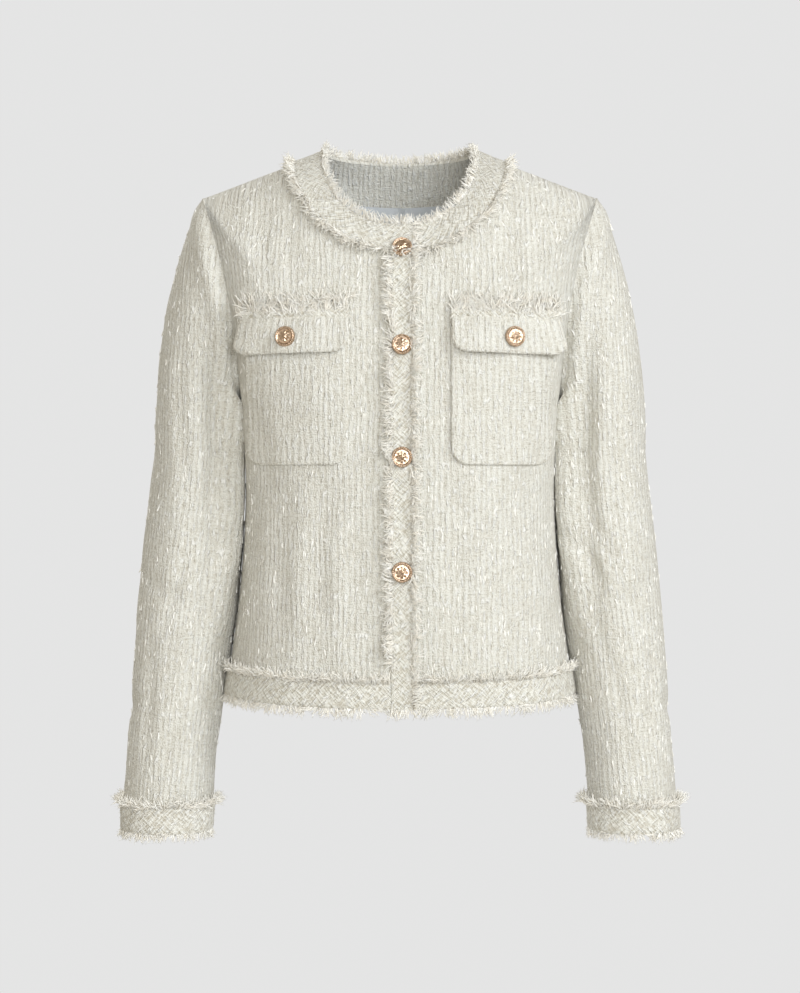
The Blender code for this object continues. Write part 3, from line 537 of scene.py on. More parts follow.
def grid_normals(grid, wrap, outward_from):
    """Smooth outward directions; outward_from is the x of the axis that the grid goes round."""
    if wrap:
        sideways = np.roll(grid, -1, axis=1) - np.roll(grid, 1, axis=1)
    else:
        sideways = np.gradient(grid, axis=1)
    normals = unit(np.cross(np.gradient(grid, axis=0), sideways))
    away = (grid - (outward_from, 0, 0)) * (1, 1, 0)
    return normals if (normals * away).sum() > 0 else -normals


cylinder = np.array([[[cos(a), sin(a), z] for a in (0.0, 0.1, 0.2)] for z in (0.0, -0.1)])
print("directions on a cylinder point outwards:", grid_normals(cylinder, False, 0)[0, 1].round(3))


# %% Threads on a grid
def thread_uv(grid, normals, first_column=0, wrap=False):
    """Metres across and along the cloth at each point, measured level and plumb over the surface."""
    line, ways = closed(grid, wrap), closed(normals, wrap)
    step, way = np.diff(line, axis=1), (ways[:, 1:] + ways[:, :-1]) / 2
    level = np.linalg.norm(way[..., :2], axis=-1) / np.maximum(np.abs(way[..., 1]), 1e-3)
    across = np.minimum(np.abs(step[..., 0]) * level, np.linalg.norm(step[..., :2], axis=-1))
    u = np.concatenate([np.zeros((len(line), 1)), np.cumsum(across, axis=1)], axis=1)
    u = u - u[:, first_column, None] + line[:, first_column, 0, None]
    down, way = np.diff(line, axis=0), (ways[1:] + ways[:-1]) / 2
    plumb = np.abs(down[..., 2]) / np.sqrt(np.maximum(1 - way[..., 2] ** 2, 0.01))
    along = np.minimum(plumb, np.linalg.norm(down, axis=-1))
    v = np.concatenate([np.zeros((1, line.shape[1])), np.cumsum(along, axis=0)]) - line[0, :, 2]
    return np.stack([u, -v], axis=-1)


HAIRLINE = 0.00003


def inset(grid, wrap):
    """Draws each free edge in by a hairline, so that pieces sewn together don't share a face."""
    made = grid.copy()
    made[0] += unit(grid[1] - grid[0]) * HAIRLINE
    made[-1] += unit(grid[-2] - grid[-1]) * HAIRLINE
    if not wrap:
        made[:, 0] += unit(grid[:, 1] - grid[:, 0]) * HAIRLINE
        made[:, -1] += unit(grid[:, -2] - grid[:, -1]) * HAIRLINE
    return made


swatch = np.array([[[0, -1, 0], [0.01, -1, 0]], [[0, -1, -0.01], [0.01, -1, -0.01]]])
print("the far corner of a 10 mm swatch:", thread_uv(swatch, np.zeros((2, 2, 3)) + (0, -1, 0))[1, 1])


# %% The faces of a shell
def grid_quads(rows, columns, faces_across):
    """Corner numbers of each cell of a grid, with the cell's own row and column."""
    i, j = (a.ravel() for a in np.mgrid[0:rows - 1, 0:faces_across])
    k = (j + 1) % columns
    corners = [i * columns + j, (i + 1) * columns + j, (i + 1) * columns + k, i * columns + k]
    return np.stack(corners, axis=1), i, j


def shell_faces(rows, columns, wide, wrap):
    """Faces of the outer grid, the inner grid and the rim, with their UV places and finish (1 inside)."""
    faces_across = columns if wrap else columns - 1
    quads, i, j = grid_quads(rows, columns, faces_across)
    spots, _, _ = grid_quads(rows, wide, faces_across)
    inward = rows * columns
    faces, places = [quads, quads[:, ::-1] + inward], [spots, spots[:, ::-1]]
    looks = [0] * len(quads) + [1] * len(quads)
    edges = [(i == 0, [0, 3]), (i == rows - 2, [2, 1])]
    if not wrap:
        edges += [(j == 0, [1, 0]), (j == columns - 2, [3, 2])]
    for cells, ends in edges:
        edge, spot = quads[cells][:, ends], spots[cells][:, ends]
        faces.append(np.concatenate([edge, edge[:, ::-1] + inward], axis=1))
        places.append(np.concatenate([spot, spot[:, ::-1]], axis=1))
        looks += [0] * len(edge)
    return np.concatenate(faces), np.concatenate(places), looks


print("faces of a shell of 3 by 4 points:", len(shell_faces(3, 4, 4, False)[0]))

# %% The shell builder
made_cloth = {}
SHARP_RIM = radians(55)


def add_object(name, data):
    made = bpy.data.objects.new(name, data)
    bpy.context.collection.objects.link(made)
    return made


def grid_area(grid):
    """Each cell is two triangles."""
    halves = (np.cross(grid[1:, :-1] - grid[:-1, :-1], grid[:-1, 1:] - grid[:-1, :-1]),
              np.cross(grid[1:, :-1] - grid[1:, 1:], grid[:-1, 1:] - grid[1:, 1:]))
    return float(sum(np.linalg.norm(h, axis=-1).sum() / 2 for h in halves))


def shell(name, outer, inner, uv, outside, inside, wrap=False):
    """A closed two-sided piece of cloth from two grids of points."""
    faces, places, looks = shell_faces(*outer.shape[:2], uv.shape[1], wrap)
    points = np.concatenate([outer.reshape(-1, 3), inner.reshape(-1, 3)])
    a, b, c, d = (points[faces[:, n]] for n in range(4))
    if (a * (np.cross(b, c) + np.cross(c, d))).sum() < 0:
        faces, places = faces[:, ::-1], places[:, ::-1]
    mesh = bpy.data.meshes.new(name)
    mesh.from_pydata(points.tolist(), [], faces.tolist())
    mesh.polygons.foreach_set("material_index", looks)
    layer = mesh.uv_layers.new(name="cloth")
    layer.data.foreach_set("uv", uv.reshape(-1, 2)[places].ravel())
    mesh.shade_smooth()
    mesh.set_sharp_from_angle(angle=SHARP_RIM)
    mesh.materials.append(outside)
    mesh.materials.append(inside)
    area = grid_area(outer)
    made_cloth[name] = (uv, area)
    print(f"{name}: {len(faces) * 2} triangles, {area:.4f} square metres")
    return add_object(name, mesh)


def dress(piece, slot, *nodes):
    """The piece stands for its solids and rides on the jacket's one body."""
    if nodes:
        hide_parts(*nodes)
    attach(piece, "root")
    return piece


print("shell builder ready")

# %% [markdown]
# ## Fronts, back and sleeves
#
# The fronts lap at the centre, so the right one runs past the centre line and the left one dives under it.
# Each half is sampled a little closer near its seam, where the cloth dips into the stitching. The shells are
# lined: their inner face is satin, because the neck, the cuffs and the hem all let the eye in.

# %% Easing the shoulder
ROW_STEP = 0.062
rows = np.concatenate([np.arange(0, HEM_ROW, ROW_STEP), [HEM_ROW]])
across_steps = np.concatenate([np.linspace(0, 0.94, 52), [0.955, 0.972, 0.984, 0.993, 1.0]])
EASED_ROWS = ((1.3, 1.8), (3.0, 2.4))          # from none to full, at each end of the eased patch
EASED_ACROSS = ((0.45, 0.70), (1.0, 0.97))
EASE_PASSES = 60


def seam_distance(grid):
    """Distance of each point from the last column, along its row."""
    steps = step_lengths(grid, 1)
    return np.concatenate([np.cumsum(steps[:, ::-1], axis=1)[:, ::-1], np.zeros((len(grid), 1))], axis=1)


def within(ends, values):
    """1 between two soft ends, each given as the value of none and the value of full."""
    (low_none, low_full), (high_none, high_full) = ends
    return smooth_step(low_none, low_full, values) * smooth_step(high_none, high_full, values)


def ease_shoulder(grid, at_rows, steps):
    """Rounds the crease that runs in from the shoulder tip, as padding under the cloth does."""
    share = 0.5 * (within(EASED_ROWS, at_rows)[:, None] * within(EASED_ACROSS, steps))[1:-1, 1:-1, None]
    for _ in range(EASE_PASSES):
        around = (grid[:-2, 1:-1] + grid[2:, 1:-1] + grid[1:-1, :-2] + grid[1:-1, 2:]) / 4
        grid[1:-1, 1:-1] += share * (around - grid[1:-1, 1:-1])


print("rows down the body:", len(rows), "points across a half:", len(across_steps))

# %% Half of the body
SEAM_DIP, SEAM_DIP_WIDTH = 0.0006, 0.0030
ARMHOLE_ROWS = ((1.9, 2.6), (5.8, 5.0))        # creases fade towards the seam between these rows
ARMHOLE_CALM = 0.016
TIP_BLEND = (SHOULDER_ROW - 0.04, SHOULDER_ROW + 0.60)


def blend_past_tip(ways, at_rows):
    """Just past the shoulder tip rows run along the armhole, so directions are blended from both sides."""
    above, below = np.searchsorted(at_rows, TIP_BLEND)
    blend = np.clip((at_rows - at_rows[above]) / (at_rows[below] - at_rows[above]), 0, 1)[:, None, None]
    blended = unit((1 - blend) * ways[above] + blend * ways[below])
    return np.where((blend > 0) & (blend < 1), blended, ways)


def half_body(at_rows, start, back=False, steps=across_steps, side=1):
    """Outer points and directions of one half, from across `start` (one per row) to the seam."""
    start = np.broadcast_to(start, at_rows.shape)[:, None]
    grid = body_points(at_rows[:, None], start + (1 - start) * steps, back)
    past_tip = at_rows[0] < SHOULDER_ROW and at_rows[-1] > TIP_BLEND[1]
    if past_tip and not back:
        ease_shoulder(grid, at_rows, steps)
    ways = grid_normals(grid, False, 0)
    if past_tip:
        ways = blend_past_tip(ways, at_rows)
    from_seam = seam_distance(grid)
    mirror = np.array([side, 1, 1])
    near_armhole = within(ARMHOLE_ROWS, at_rows)[:, None]
    calm = 1 - near_armhole * np.exp(-(from_seam / ARMHOLE_CALM) ** 2)
    dip = SEAM_DIP * np.exp(-(from_seam / SEAM_DIP_WIDTH) ** 2) * (1 - near_armhole)
    sink = body_relief(grid * mirror) * calm + dip
    return (grid - ways * sink[..., None]) * mirror, ways * mirror


def whole_back(at_rows):
    """Points and directions of the back, from its right seam to its left one."""
    left, right = (half_body(at_rows, 0.0, back=True, side=side) for side in (1, -1))
    return (np.concatenate([other[:, :0:-1], half], axis=1) for half, other in zip(left, right))


def body_shell(name, grid, ways, uv, lift, cloth, outside, inside):
    """A shell whose outer face is lift + cloth off the grid."""
    cut = inset(grid, False)
    return shell(name, cut + ways * (lift + cloth), cut + ways * lift, uv, outside, inside)


print("the blend past the shoulder tip covers rows", TIP_BLEND)

# %% Grids of the body
LOW_UNTIL = ((0, 1, 1.6), (0.018, 0.022, 0.030))       # rows, and the x up to which the left front lies low
right_grid, right_ways = half_body(rows, across_at(rows, -FRONT_EDGE), side=-1)
left_start = across_at(rows, -UNDERLAP_EDGE)
left_grid, left_ways = half_body(rows, left_start)
low_until = across_at(rows, np.interp(rows, *LOW_UNTIL))
share = left_start[:, None] + (1 - left_start[:, None]) * across_steps
still_low = 1 - smooth_step(0, 1, (share - low_until[:, None]) / (LEFT_RISEN - low_until[:, None]))
left_grid = left_grid - left_ways * (UNDERLAP_DEPTH * still_low)[..., None]
back_grid, back_ways = whole_back(rows)
print("front grid:", right_grid.shape, "back grid:", back_grid.shape)

# %% Shells of the body
middle_column = len(across_steps) - 1
panels = {
    "cloth_front_right": (right_grid, right_ways, thread_uv(right_grid, right_ways) + (7, 0), "front_right"),
    "cloth_front_left": (left_grid, left_ways, thread_uv(left_grid, left_ways) + (9, 0), "front_left"),
    "cloth_back": (back_grid, back_ways, thread_uv(back_grid, back_ways, middle_column), "back"),
}
for name, (grid, ways, uv, node) in panels.items():
    piece = body_shell(name, grid, ways, uv, -PANEL_CLOTH, PANEL_CLOTH, tweed_cloth, satin)
    dress(piece, "tweed", node)


# %% Sleeves
Wrinkle = namedtuple("Wrinkle", "turn_top turn_low z_top z_low width depth")
SLEEVE_WRINKLES = (        # turn 90 is the front, 180 the outer edge, 270 the back
    Wrinkle(348, 352, -0.250, -0.560, 34, -0.0074),       # the underside swells against the body
    Wrinkle(29, 31, -0.200, -0.460, 16, -0.0108),         # and folds forward over the side of the body
    Wrinkle(20, 22, -0.210, -0.285, 22, -0.0090),
    Wrinkle(64, 58, -0.190, -0.500, 13, 0.0050),
    Wrinkle(95, 40, -0.110, -0.340, 20, 0.0060),
    Wrinkle(250, 310, -0.130, -0.350, 22, 0.0050),
    Wrinkle(150, 60, -0.395, -0.440, 24, 0.0030),
    Wrinkle(120, 200, -0.505, -0.540, 24, 0.0022),
    Wrinkle(120, 84, -0.150, -0.400, 9, 0.0016),
    Wrinkle(66, 118, -0.330, -0.470, 8, 0.0018),
    Wrinkle(30, 75, -0.350, -0.420, 10, 0.0022),
    Wrinkle(58, 96, -0.430, -0.600, 8, 0.0016),
    Wrinkle(128, 112, -0.440, -0.590, 8, 0.0015),
    Wrinkle(215, 250, -0.250, -0.420, 12, 0.0026),
    Wrinkle(290, 250, -0.370, -0.470, 12, 0.0030),
    Wrinkle(236, 262, -0.470, -0.600, 10, 0.0022),
    Wrinkle(330, 296, -0.420, -0.580, 10, 0.0020),
)
SOFT_WRINKLES = 8          # the first ones are broad and have no ridge beside them
SLEEVE_WAVES, SLEEVE_WAVE_HEIGHT = (0.05, 0.07, 0.10, 0.14), 0.0011


def sleeve_relief(points, turn, side):
    z = points[..., 2]
    total = SLEEVE_WAVE_HEIGHT * unevenness(points, SLEEVE_WAVES, 5 + side)
    for number, fold in enumerate(SLEEVE_WRINKLES):
        along = (z - fold.z_top) / (fold.z_low - fold.z_top)
        soft = number < SOFT_WRINKLES
        drift = 0 if soft else 3 * side * np.sin(7 * along + number)
        centre = fold.turn_top + (fold.turn_low - fold.turn_top) * along + drift
        apart = ((turn - centre + 180) % 360 - 180) / fold.width
        across = np.exp(-apart**2) if soft else trough(apart)
        total = total + fold.depth * np.sin(pi * np.clip(along, 0, 1)) * across
    return total


print("wrinkles of a sleeve:", len(SLEEVE_WRINKLES))

# %% Roll and threads of a sleeve
TURNS = np.arange(0, 360, 4.5)
FROM_UNDERARM = np.minimum(TURNS, 360 - TURNS)         # degrees away from the seam under the arm
FRONT_COLUMN = int(np.argmin(np.abs(TURNS - 90)))
CAP_ROLL, ROLL_PLACE, ROLL_WIDTH, ROLL_START = 0.0060, 0.017, 0.013, 0.006
CALM_LENGTH = np.where(np.abs(TURNS - 20) < 30, 0.009, 0.020)      # creases reach nearer the seam in front


def cap_roll(from_seam):
    """How far the cap swells out just below its seam: most beside the shoulder tip, less right at it."""
    roll = (CAP_ROLL * np.exp(-((from_seam - ROLL_PLACE) / ROLL_WIDTH) ** 2)
            * (1 - np.exp(-(from_seam / ROLL_START) ** 2)))
    return roll * smooth_step(35, 75, FROM_UNDERARM) * (1 - 0.6 * np.exp(-((TURNS - 180) / 30) ** 2))


def sleeve_uv(grid, ways, cap):
    """Plumb threads, but round the back of the cap the warp runs up the columns, eased into the armhole."""
    uv = thread_uv(grid, ways, FRONT_COLUMN, wrap=True)
    first_full = len(cap) - 1
    shift = uv[:, FRONT_COLUMN, 0] - grid[:, FRONT_COLUMN, 0]
    level = np.where(np.arange(len(grid)) > first_full,
                     grid[:, FRONT_COLUMN, 0] - grid[first_full, FRONT_COLUMN, 0], 0)
    uv[..., 0] -= (shift + level)[:, None]
    steps = step_lengths(closed(cap, True))
    eased = np.stack([np.broadcast_to(uv[first_full, :, 0], steps.shape),
                      uv[first_full, :, 1] + np.cumsum(steps[::-1], axis=0)[::-1]], axis=-1)
    turned = np.append(TURNS, 360)
    in_front = (smooth_step(0, 25, turned) * (1 - smooth_step(165, 215, turned)))[:, None]
    uv[:first_full] = uv[:first_full] * in_front + eased * (1 - in_front)
    return uv


print("most roll of the cap:", cap_roll(np.array([[ROLL_PLACE]])).max().round(4))


# %% Sleeves
def sleeve(side):
    """Grid, directions and UVs of one sleeve; side is 1 for the wearer's left."""
    shares = np.concatenate([[0, 0.008, 0.018, 0.035], np.linspace(0.06, 1, 30)])[:, None]
    cap = cap_points(shares, TURNS)
    heights = np.linspace(SLEEVE[0, 0], SLEEVE[-1, 0], 112)[1:, None]
    grid = np.concatenate([cap, tube_points(heights, TURNS)])
    ways = grid_normals(grid, True, (SLEEVE[0, 1] + SLEEVE[0, 2]) / 2)
    from_seam = np.concatenate([np.zeros((1, len(TURNS))), np.cumsum(step_lengths(grid), axis=0)])
    calm = 1 - np.exp(-(from_seam / CALM_LENGTH) ** 2)
    _, inner, outer, _, _ = sleeve_sizes(np.minimum(grid[..., 2], SLEEVE[0, 0]))
    from_underarm = np.radians(FROM_UNDERARM) * (outer - inner) / 2
    dip = SEAM_DIP * np.exp(-(from_underarm / SEAM_DIP_WIDTH) ** 2)
    sink = (sleeve_relief(grid, TURNS, side) + dip) * calm - cap_roll(from_seam)
    mirror = np.array([side, 1, 1])
    return (grid - ways * sink[..., None]) * mirror, ways * mirror, sleeve_uv(grid, ways, cap)


sleeves = {"left": sleeve(1), "right": sleeve(-1)}
for side, (grid, ways, uv) in sleeves.items():
    cut = inset(grid, True)
    piece = shell("cloth_sleeve_" + side, cut, cut - ways * PANEL_CLOTH, uv + (3, 0), tweed_cloth, satin,
                  wrap=True)
    dress(piece, "tweed", "sleeve_" + side)

# %% [markdown]
# ## Bias bands
#
# The neck, the front opening, the hem and the cuffs are all edged with a narrow band of the same tweed, cut
# at 45 degrees so that it bends round the curves. Each band is drawn from the same curves and creases as the
# panel under it, so it follows that panel, and its edges are rounded down where the fraying starts.

# %% Strips round the body
SIDE_STEPS = np.linspace(0, 1, 64)
UNDERLAP_FADE = (0.020, 0.066)         # the x over which the left front comes back up to its full height


def round_the_body(at_rows, from_x):
    """One grid from the right front's edge round the back to where the bands end on the left front."""
    right, right_way = half_body(at_rows, across_at(at_rows, from_x), steps=SIDE_STEPS, side=-1)
    left, left_way = half_body(at_rows, across_at(at_rows, LEFT_TRIM_START), steps=SIDE_STEPS)
    dip = UNDERLAP_DEPTH * (1 - smooth_step(*UNDERLAP_FADE, left[..., 0]))
    left = left - left_way * dip[..., None]
    half, half_way = half_body(at_rows, 0.0, back=True, steps=SIDE_STEPS)
    other, other_way = half_body(at_rows, 0.0, back=True, steps=SIDE_STEPS, side=-1)
    grids = [right, other[:, -2::-1], half[:, 1:-1], left[:, ::-1]]
    ways = [right_way, other_way[:, -2::-1], half_way[:, 1:-1], left_way[:, ::-1]]
    return np.concatenate(grids, axis=1), np.concatenate(ways, axis=1)


def band_rows(low, high, count):
    """Rows from low to high that lie closer together near both edges."""
    edges = np.array([0, 0.04, 0.10, 0.18])
    middle = np.linspace(0.26, 0.74, count)
    return low + (high - low) * np.concatenate([edges, middle, 1 - edges[::-1]])


neck_grid, neck_ways = round_the_body(band_rows(0, NECK_BAND_ROW, 5), -FRONT_EDGE)
hem_grid, hem_ways = round_the_body(band_rows(HEM_BAND_ROW, HEM_ROW, 4), PLACKET_INNER)
print("neck strip:", neck_grid.shape, "hem strip:", hem_grid.shape)

# %% Bands of the body
BAND_FULLER = 0.0008       # how much fuller a band is than its solid
BAND_ROUNDING, LEAST_THICK = 0.003, 0.35
BAND_LUMPS, LUMP_WAVES = 0.0003, (0.009, 0.013, 0.019)


def distance_uv(grid, wrap=False):
    """UVs by plain distance, for a band that runs round a curve."""
    u = from_zero(step_lengths(closed(grid, wrap), 1).mean(axis=0))
    v = from_zero(step_lengths(closed(grid, wrap)).mean(axis=1))
    return np.stack(np.meshgrid(u, -v), axis=-1)


def rounded(values, low_edge, high_edge, radius):
    """1 inside, falling to the least thickness at both edges over `radius`."""
    near = np.clip(np.minimum(values - low_edge, high_edge - values) / radius, 0, 1)
    return LEAST_THICK + (1 - LEAST_THICK) * np.sqrt(1 - (1 - near) ** 2)


def band(name, grid, ways, node, wrap=False):
    """A band lying on its panel, with soft long edges."""
    drop = from_zero(step_lengths(grid).mean(axis=1))
    full = rounded(drop, 0, drop[-1], BAND_ROUNDING)[:, None, None]
    lumps = BAND_LUMPS * unevenness(grid, LUMP_WAVES, 8)[..., None]
    cut = inset(grid, wrap)
    outer = cut + ways * (SEAM_GAP + (BAND_CLOTH + BAND_FULLER + lumps) * full)
    piece = shell(name, outer, cut + ways * SEAM_GAP, distance_uv(grid, wrap), bias_cloth, bias_cloth, wrap)
    return dress(piece, "trim", node)


band("band_neck", neck_grid, neck_ways, "neck_band")
band("band_hem", hem_grid, hem_ways, "hem_band")

# %% Placket band and cuffs
placket_rows = np.linspace(NECK_BAND_ROW, HEM_ROW, 150)
placket_x = np.concatenate([[-FRONT_EDGE, -0.0112, -0.0102, -0.0088], np.linspace(-0.006, 0.003, 4),
                            [0.0052, 0.0066, 0.0076, PLACKET_INNER]])
placket_across = np.stack([across_at(placket_rows, x) for x in placket_x], axis=1)
placket_grid = body_points(placket_rows[:, None], placket_across) * (-1, 1, 1)
placket_ways = grid_normals(placket_grid, False, 0)
placket_grid = placket_grid - placket_ways * body_relief(placket_grid)[..., None]
placket_columns, placket_column_ways = np.swapaxes(placket_grid, 0, 1), np.swapaxes(placket_ways, 0, 1)
band("band_placket", placket_columns, placket_column_ways, "placket_band")

cuffs = {}
for side, (grid, ways, _) in sleeves.items():
    top = int(np.argmax(grid[:, 0, 2] <= CUFF_BAND_Z + 0.0001))
    cuffs[side] = (grid[top:], ways[top:], unit(grid[top - 3] - grid[top]))
    place = np.linspace(0, len(grid) - top - 1, 13)
    low = np.minimum(place.astype(int), len(grid) - top - 2)
    part = (place - low)[:, None, None]
    cuff, cuff_ways = (a[low] * (1 - part) + a[low + 1] * part for a in cuffs[side][:2])
    band("band_cuff_" + side, cuff, cuff_ways, "cuff_band_" + side, wrap=True)

# %% [markdown]
# ## Inside the back
#
# Through the neck one sees a tweed facing below the band, and under its straight lower edge the grey satin
# lining with a small pleat down the middle. The pleat gives the wearer's shoulders room to move.

# %% Facing and lining
INSIDE_OFF = -(PANEL_CLOTH + SEAM_GAP)
PLEAT_WIDTH, PLEAT_DEPTH = 0.0035, 0.0040
RIPPLE_WAVES, RIPPLE_HEIGHT = (0.03, 0.045, 0.08, 0.12), 0.0010
grid, ways = whole_back(np.linspace(0, FACING_ROW, 24))
piece = body_shell("facing_tweed", grid, ways, thread_uv(grid, ways, middle_column),
                   INSIDE_OFF - FACING_CLOTH, FACING_CLOTH, tweed_cloth, tweed_cloth)
dress(piece, "tweed", "facing_back")

grid, ways = whole_back(np.linspace(FACING_ROW, HEM_BAND_ROW, 64))
x = grid[..., 0]
ridge = np.exp(-((x - 0.004) / PLEAT_WIDTH) ** 2)
fold = np.exp(-((x + 0.002) / (PLEAT_WIDTH / 2)) ** 2)
ripples = RIPPLE_HEIGHT * unevenness(grid, RIPPLE_WAVES, 12)
bulge = np.clip(PLEAT_DEPTH * (ridge - fold) + ripples, -0.0004, None)[..., None]
cut = inset(grid, False)
piece = shell("lining_satin", cut + ways * INSIDE_OFF, cut + ways * (INSIDE_OFF - LINING_CLOTH - bulge),
              thread_uv(grid, ways, middle_column), satin, satin)
dress(piece, "satin", "lining_back")

# %% [markdown]
# ## Patch pockets and flaps
#
# A patch pocket is laid on the front and stitched round three sides, so its edge is a soft step with a thin
# shadow. Each point of the patch is looked up on the front by its place in front view. The flap hangs from
# its top seam, steps over the pocket's mouth and stands a little proud, and its lower edge waves.

# %% Looking up places on the front
def on_front(x, z, side):
    """Points and outward directions of the creased front at these places in front view."""
    low, high = np.zeros(x.shape), np.full(x.shape, float(HEM_ROW))
    for _ in range(ROW_HALVINGS):
        middle = (low + high) / 2
        above = body_points(middle, across_at(middle, x))[..., 2] > z
        low, high = np.where(above, middle, low), np.where(above, high, middle)
    at_rows, across = (low + high) / 2, across_at((low + high) / 2, x)
    sideways = body_points(at_rows, across + 0.004) - body_points(at_rows, across - 0.004)
    downward = body_points(at_rows + 0.004, across) - body_points(at_rows - 0.004, across)
    ways = unit(np.cross(downward, sideways))
    mirror = np.array([side, 1, 1])
    points = body_points(at_rows, across)
    return (points - ways * body_relief(points * mirror)[..., None]) * mirror, ways * mirror


print("a point of the pocket:", on_front(np.array([0.09]), np.array([-0.25]), 1)[0].round(4))

# %% Patches on the front
Patch = namedtuple("Patch", "inner outer top bottom radius")
POCKET = Patch(0.0460, 0.1395, -0.1740, -0.2990, 0.016)
FLAP = Patch(0.0465, 0.1440, -0.1590, -0.1975, 0.013)
TRIM = Patch(0.0462, 0.1445, -0.1500, -0.1655, 0.001)
patch_faces = {}


def patch_points(sizes, steps_across, steps_down, side, sag=0.0):
    """Places, points and directions of a patch with rounded lower corners."""
    x = sizes.inner + (sizes.outer - sizes.inner) * steps_across
    near = np.clip(sizes.radius - np.minimum(x - sizes.inner, sizes.outer - x), 0, sizes.radius)
    lift = sizes.radius - np.sqrt(sizes.radius**2 - near**2)
    low = sizes.bottom + lift - sag * np.sin(pi * steps_across)
    z = sizes.top + (low - sizes.top) * steps_down[:, None]
    x = np.broadcast_to(x, z.shape)
    return x, z, *on_front(x, z, side)


def edge_steps(count, near=(0.006, 0.014, 0.026, 0.045)):
    """Shares from 0 to 1 that lie closer together near both ends."""
    near = np.array((0.0, *near))
    return np.concatenate([near, np.linspace(0.07, 0.93, count), 1 - near[::-1]])


def edge_fullness(sizes, x, z, radius):
    """From 0 at the sides and the lower edge of a patch to 1 inside, rounded over `radius`."""
    edge = np.minimum(np.minimum(x - sizes.inner, sizes.outer - x), z - z[-1])
    return np.sqrt(1 - (1 - np.clip(edge / radius, 0, 1)) ** 2)


def lay_patch(name, slot, nodes, outer, inner, ways, uv, cloth):
    """The shell of a patch, whose outer face is kept for the yarn along its edges."""
    dress(shell(name, outer, inner, uv, cloth, cloth), slot, *nodes)
    patch_faces[name] = (outer, ways)


print("pocket, flap and trim are", [round(p.outer - p.inner, 4) for p in (POCKET, FLAP, TRIM)], "wide")

# %% A pocket
POCKET_LIFT, POCKET_PUFF, POCKET_ROUNDING, POCKET_UNDER = 0.0034, 0.0012, 0.0028, 0.0002


def pocket(side, turn):
    x, z, points, ways = patch_points(POCKET, edge_steps(26), edge_steps(34), turn)
    rise = 0.3 + 0.7 * edge_fullness(POCKET, x, z, POCKET_ROUNDING)
    puff = (POCKET_PUFF * np.sin(pi * (x - POCKET.inner) / (POCKET.outer - POCKET.inner))
            * np.clip((z - POCKET.bottom) / (POCKET.top - POCKET.bottom), 0, 1))
    lumps = 0.0004 * unevenness(points, (0.02, 0.03, 0.05), 14)
    lift = (POCKET_LIFT * rise + puff + lumps)[..., None]
    lay_patch("patch_pocket_" + side, "tweed", ["pocket_" + side], points + ways * lift,
              points + ways * POCKET_UNDER, ways, np.stack([x * turn + 2.1, z], axis=-1), tweed_cloth)


print("a pocket stands", POCKET_LIFT * 1000, "mm off the front")

# %% A flap
FLAP_LIFTS = np.array(((0, 0.0012), (0.006, 0.0012), (0.0115, 0.0041), (0.020, 0.0050), (0.030, 0.0060),
                       (0.0385, 0.0068)))             # how far it stands off at each drop
FLAP_SAG, FLAP_ROUNDING, FLAP_FLARE = 0.0012, 0.002, 0.0022


def flap(side, turn):
    steps_down = edge_steps(10, (0.03, 0.07, 0.12))
    x, z, points, ways = patch_points(FLAP, edge_steps(26), steps_down, turn, FLAP_SAG)
    drop = FLAP.top - z
    low = smooth_step(0.008, 0.038, drop)
    wave = 0.0012 * np.sin(x * 95 + turn) + 0.0008 * np.sin(x * 210 + 2 * turn)
    stand = np.interp(drop, FLAP_LIFTS[:, 0], FLAP_LIFTS[:, 1]) + (wave + 0.0012) * low
    flare = FLAP_FLARE * smooth_step(0.120, FLAP.outer, x) * low
    thick = FLAP_CLOTH * (0.6 + 0.6 * edge_fullness(FLAP, x, z, FLAP_ROUNDING))
    base = points + ways * (stand + flare)[..., None]
    lay_patch("pocket_flap_" + side, "tweed", ["flap_" + side], base + ways * thick[..., None], base, ways,
              np.stack([x * turn + 4.7, z], axis=-1), tweed_cloth)


SIDES = (("left", 1), ("right", -1))
for side, turn in SIDES:
    pocket(side, turn)
    flap(side, turn)

# %% [markdown]
# Above each flap a strip of the bias trim covers its seam and frays upwards over the front.

# %% Trim above the flaps
TRIM_UNDER, TRIM_STEP, TRIM_CLOTH = 0.0004, 0.0030, 0.0020
for side, turn in SIDES:
    x, z, points, ways = patch_points(TRIM, edge_steps(30), np.linspace(0, 1, 9), turn)
    drop = (TRIM.top - z) / (TRIM.top - TRIM.bottom)
    full = 0.3 + 0.7 * np.sqrt(np.clip(1 - (2 * drop - 1) ** 4, 0, 1))
    under = TRIM_UNDER + TRIM_STEP * smooth_step(0.35, 0.75, drop)
    ragged = 0.0006 * unevenness(points, (0.006, 0.009, 0.014), 21)
    outer = points + ways * (under + (TRIM_CLOTH + ragged) * full)[..., None]
    lay_patch("flap_trim_" + side, "trim", [], outer, points + ways * under[..., None], ways,
              np.stack([x * turn, z], axis=-1), bias_cloth)

# %% [markdown]
# ## Buttons
#
# The buttons are gilt and domed, with a rope rim and a small flower in the middle. A polar grid gives every
# ring the same number of points, so the relief can be written as a height over radius and angle. That keeps
# the ornament one short formula where modelling each petal would take hundreds of faces more.

# %% Button relief
PETALS, ROPE_TURNS = 8, 26


def bell(share, middle, width):
    return np.exp(-((share - middle) / width) ** 2)


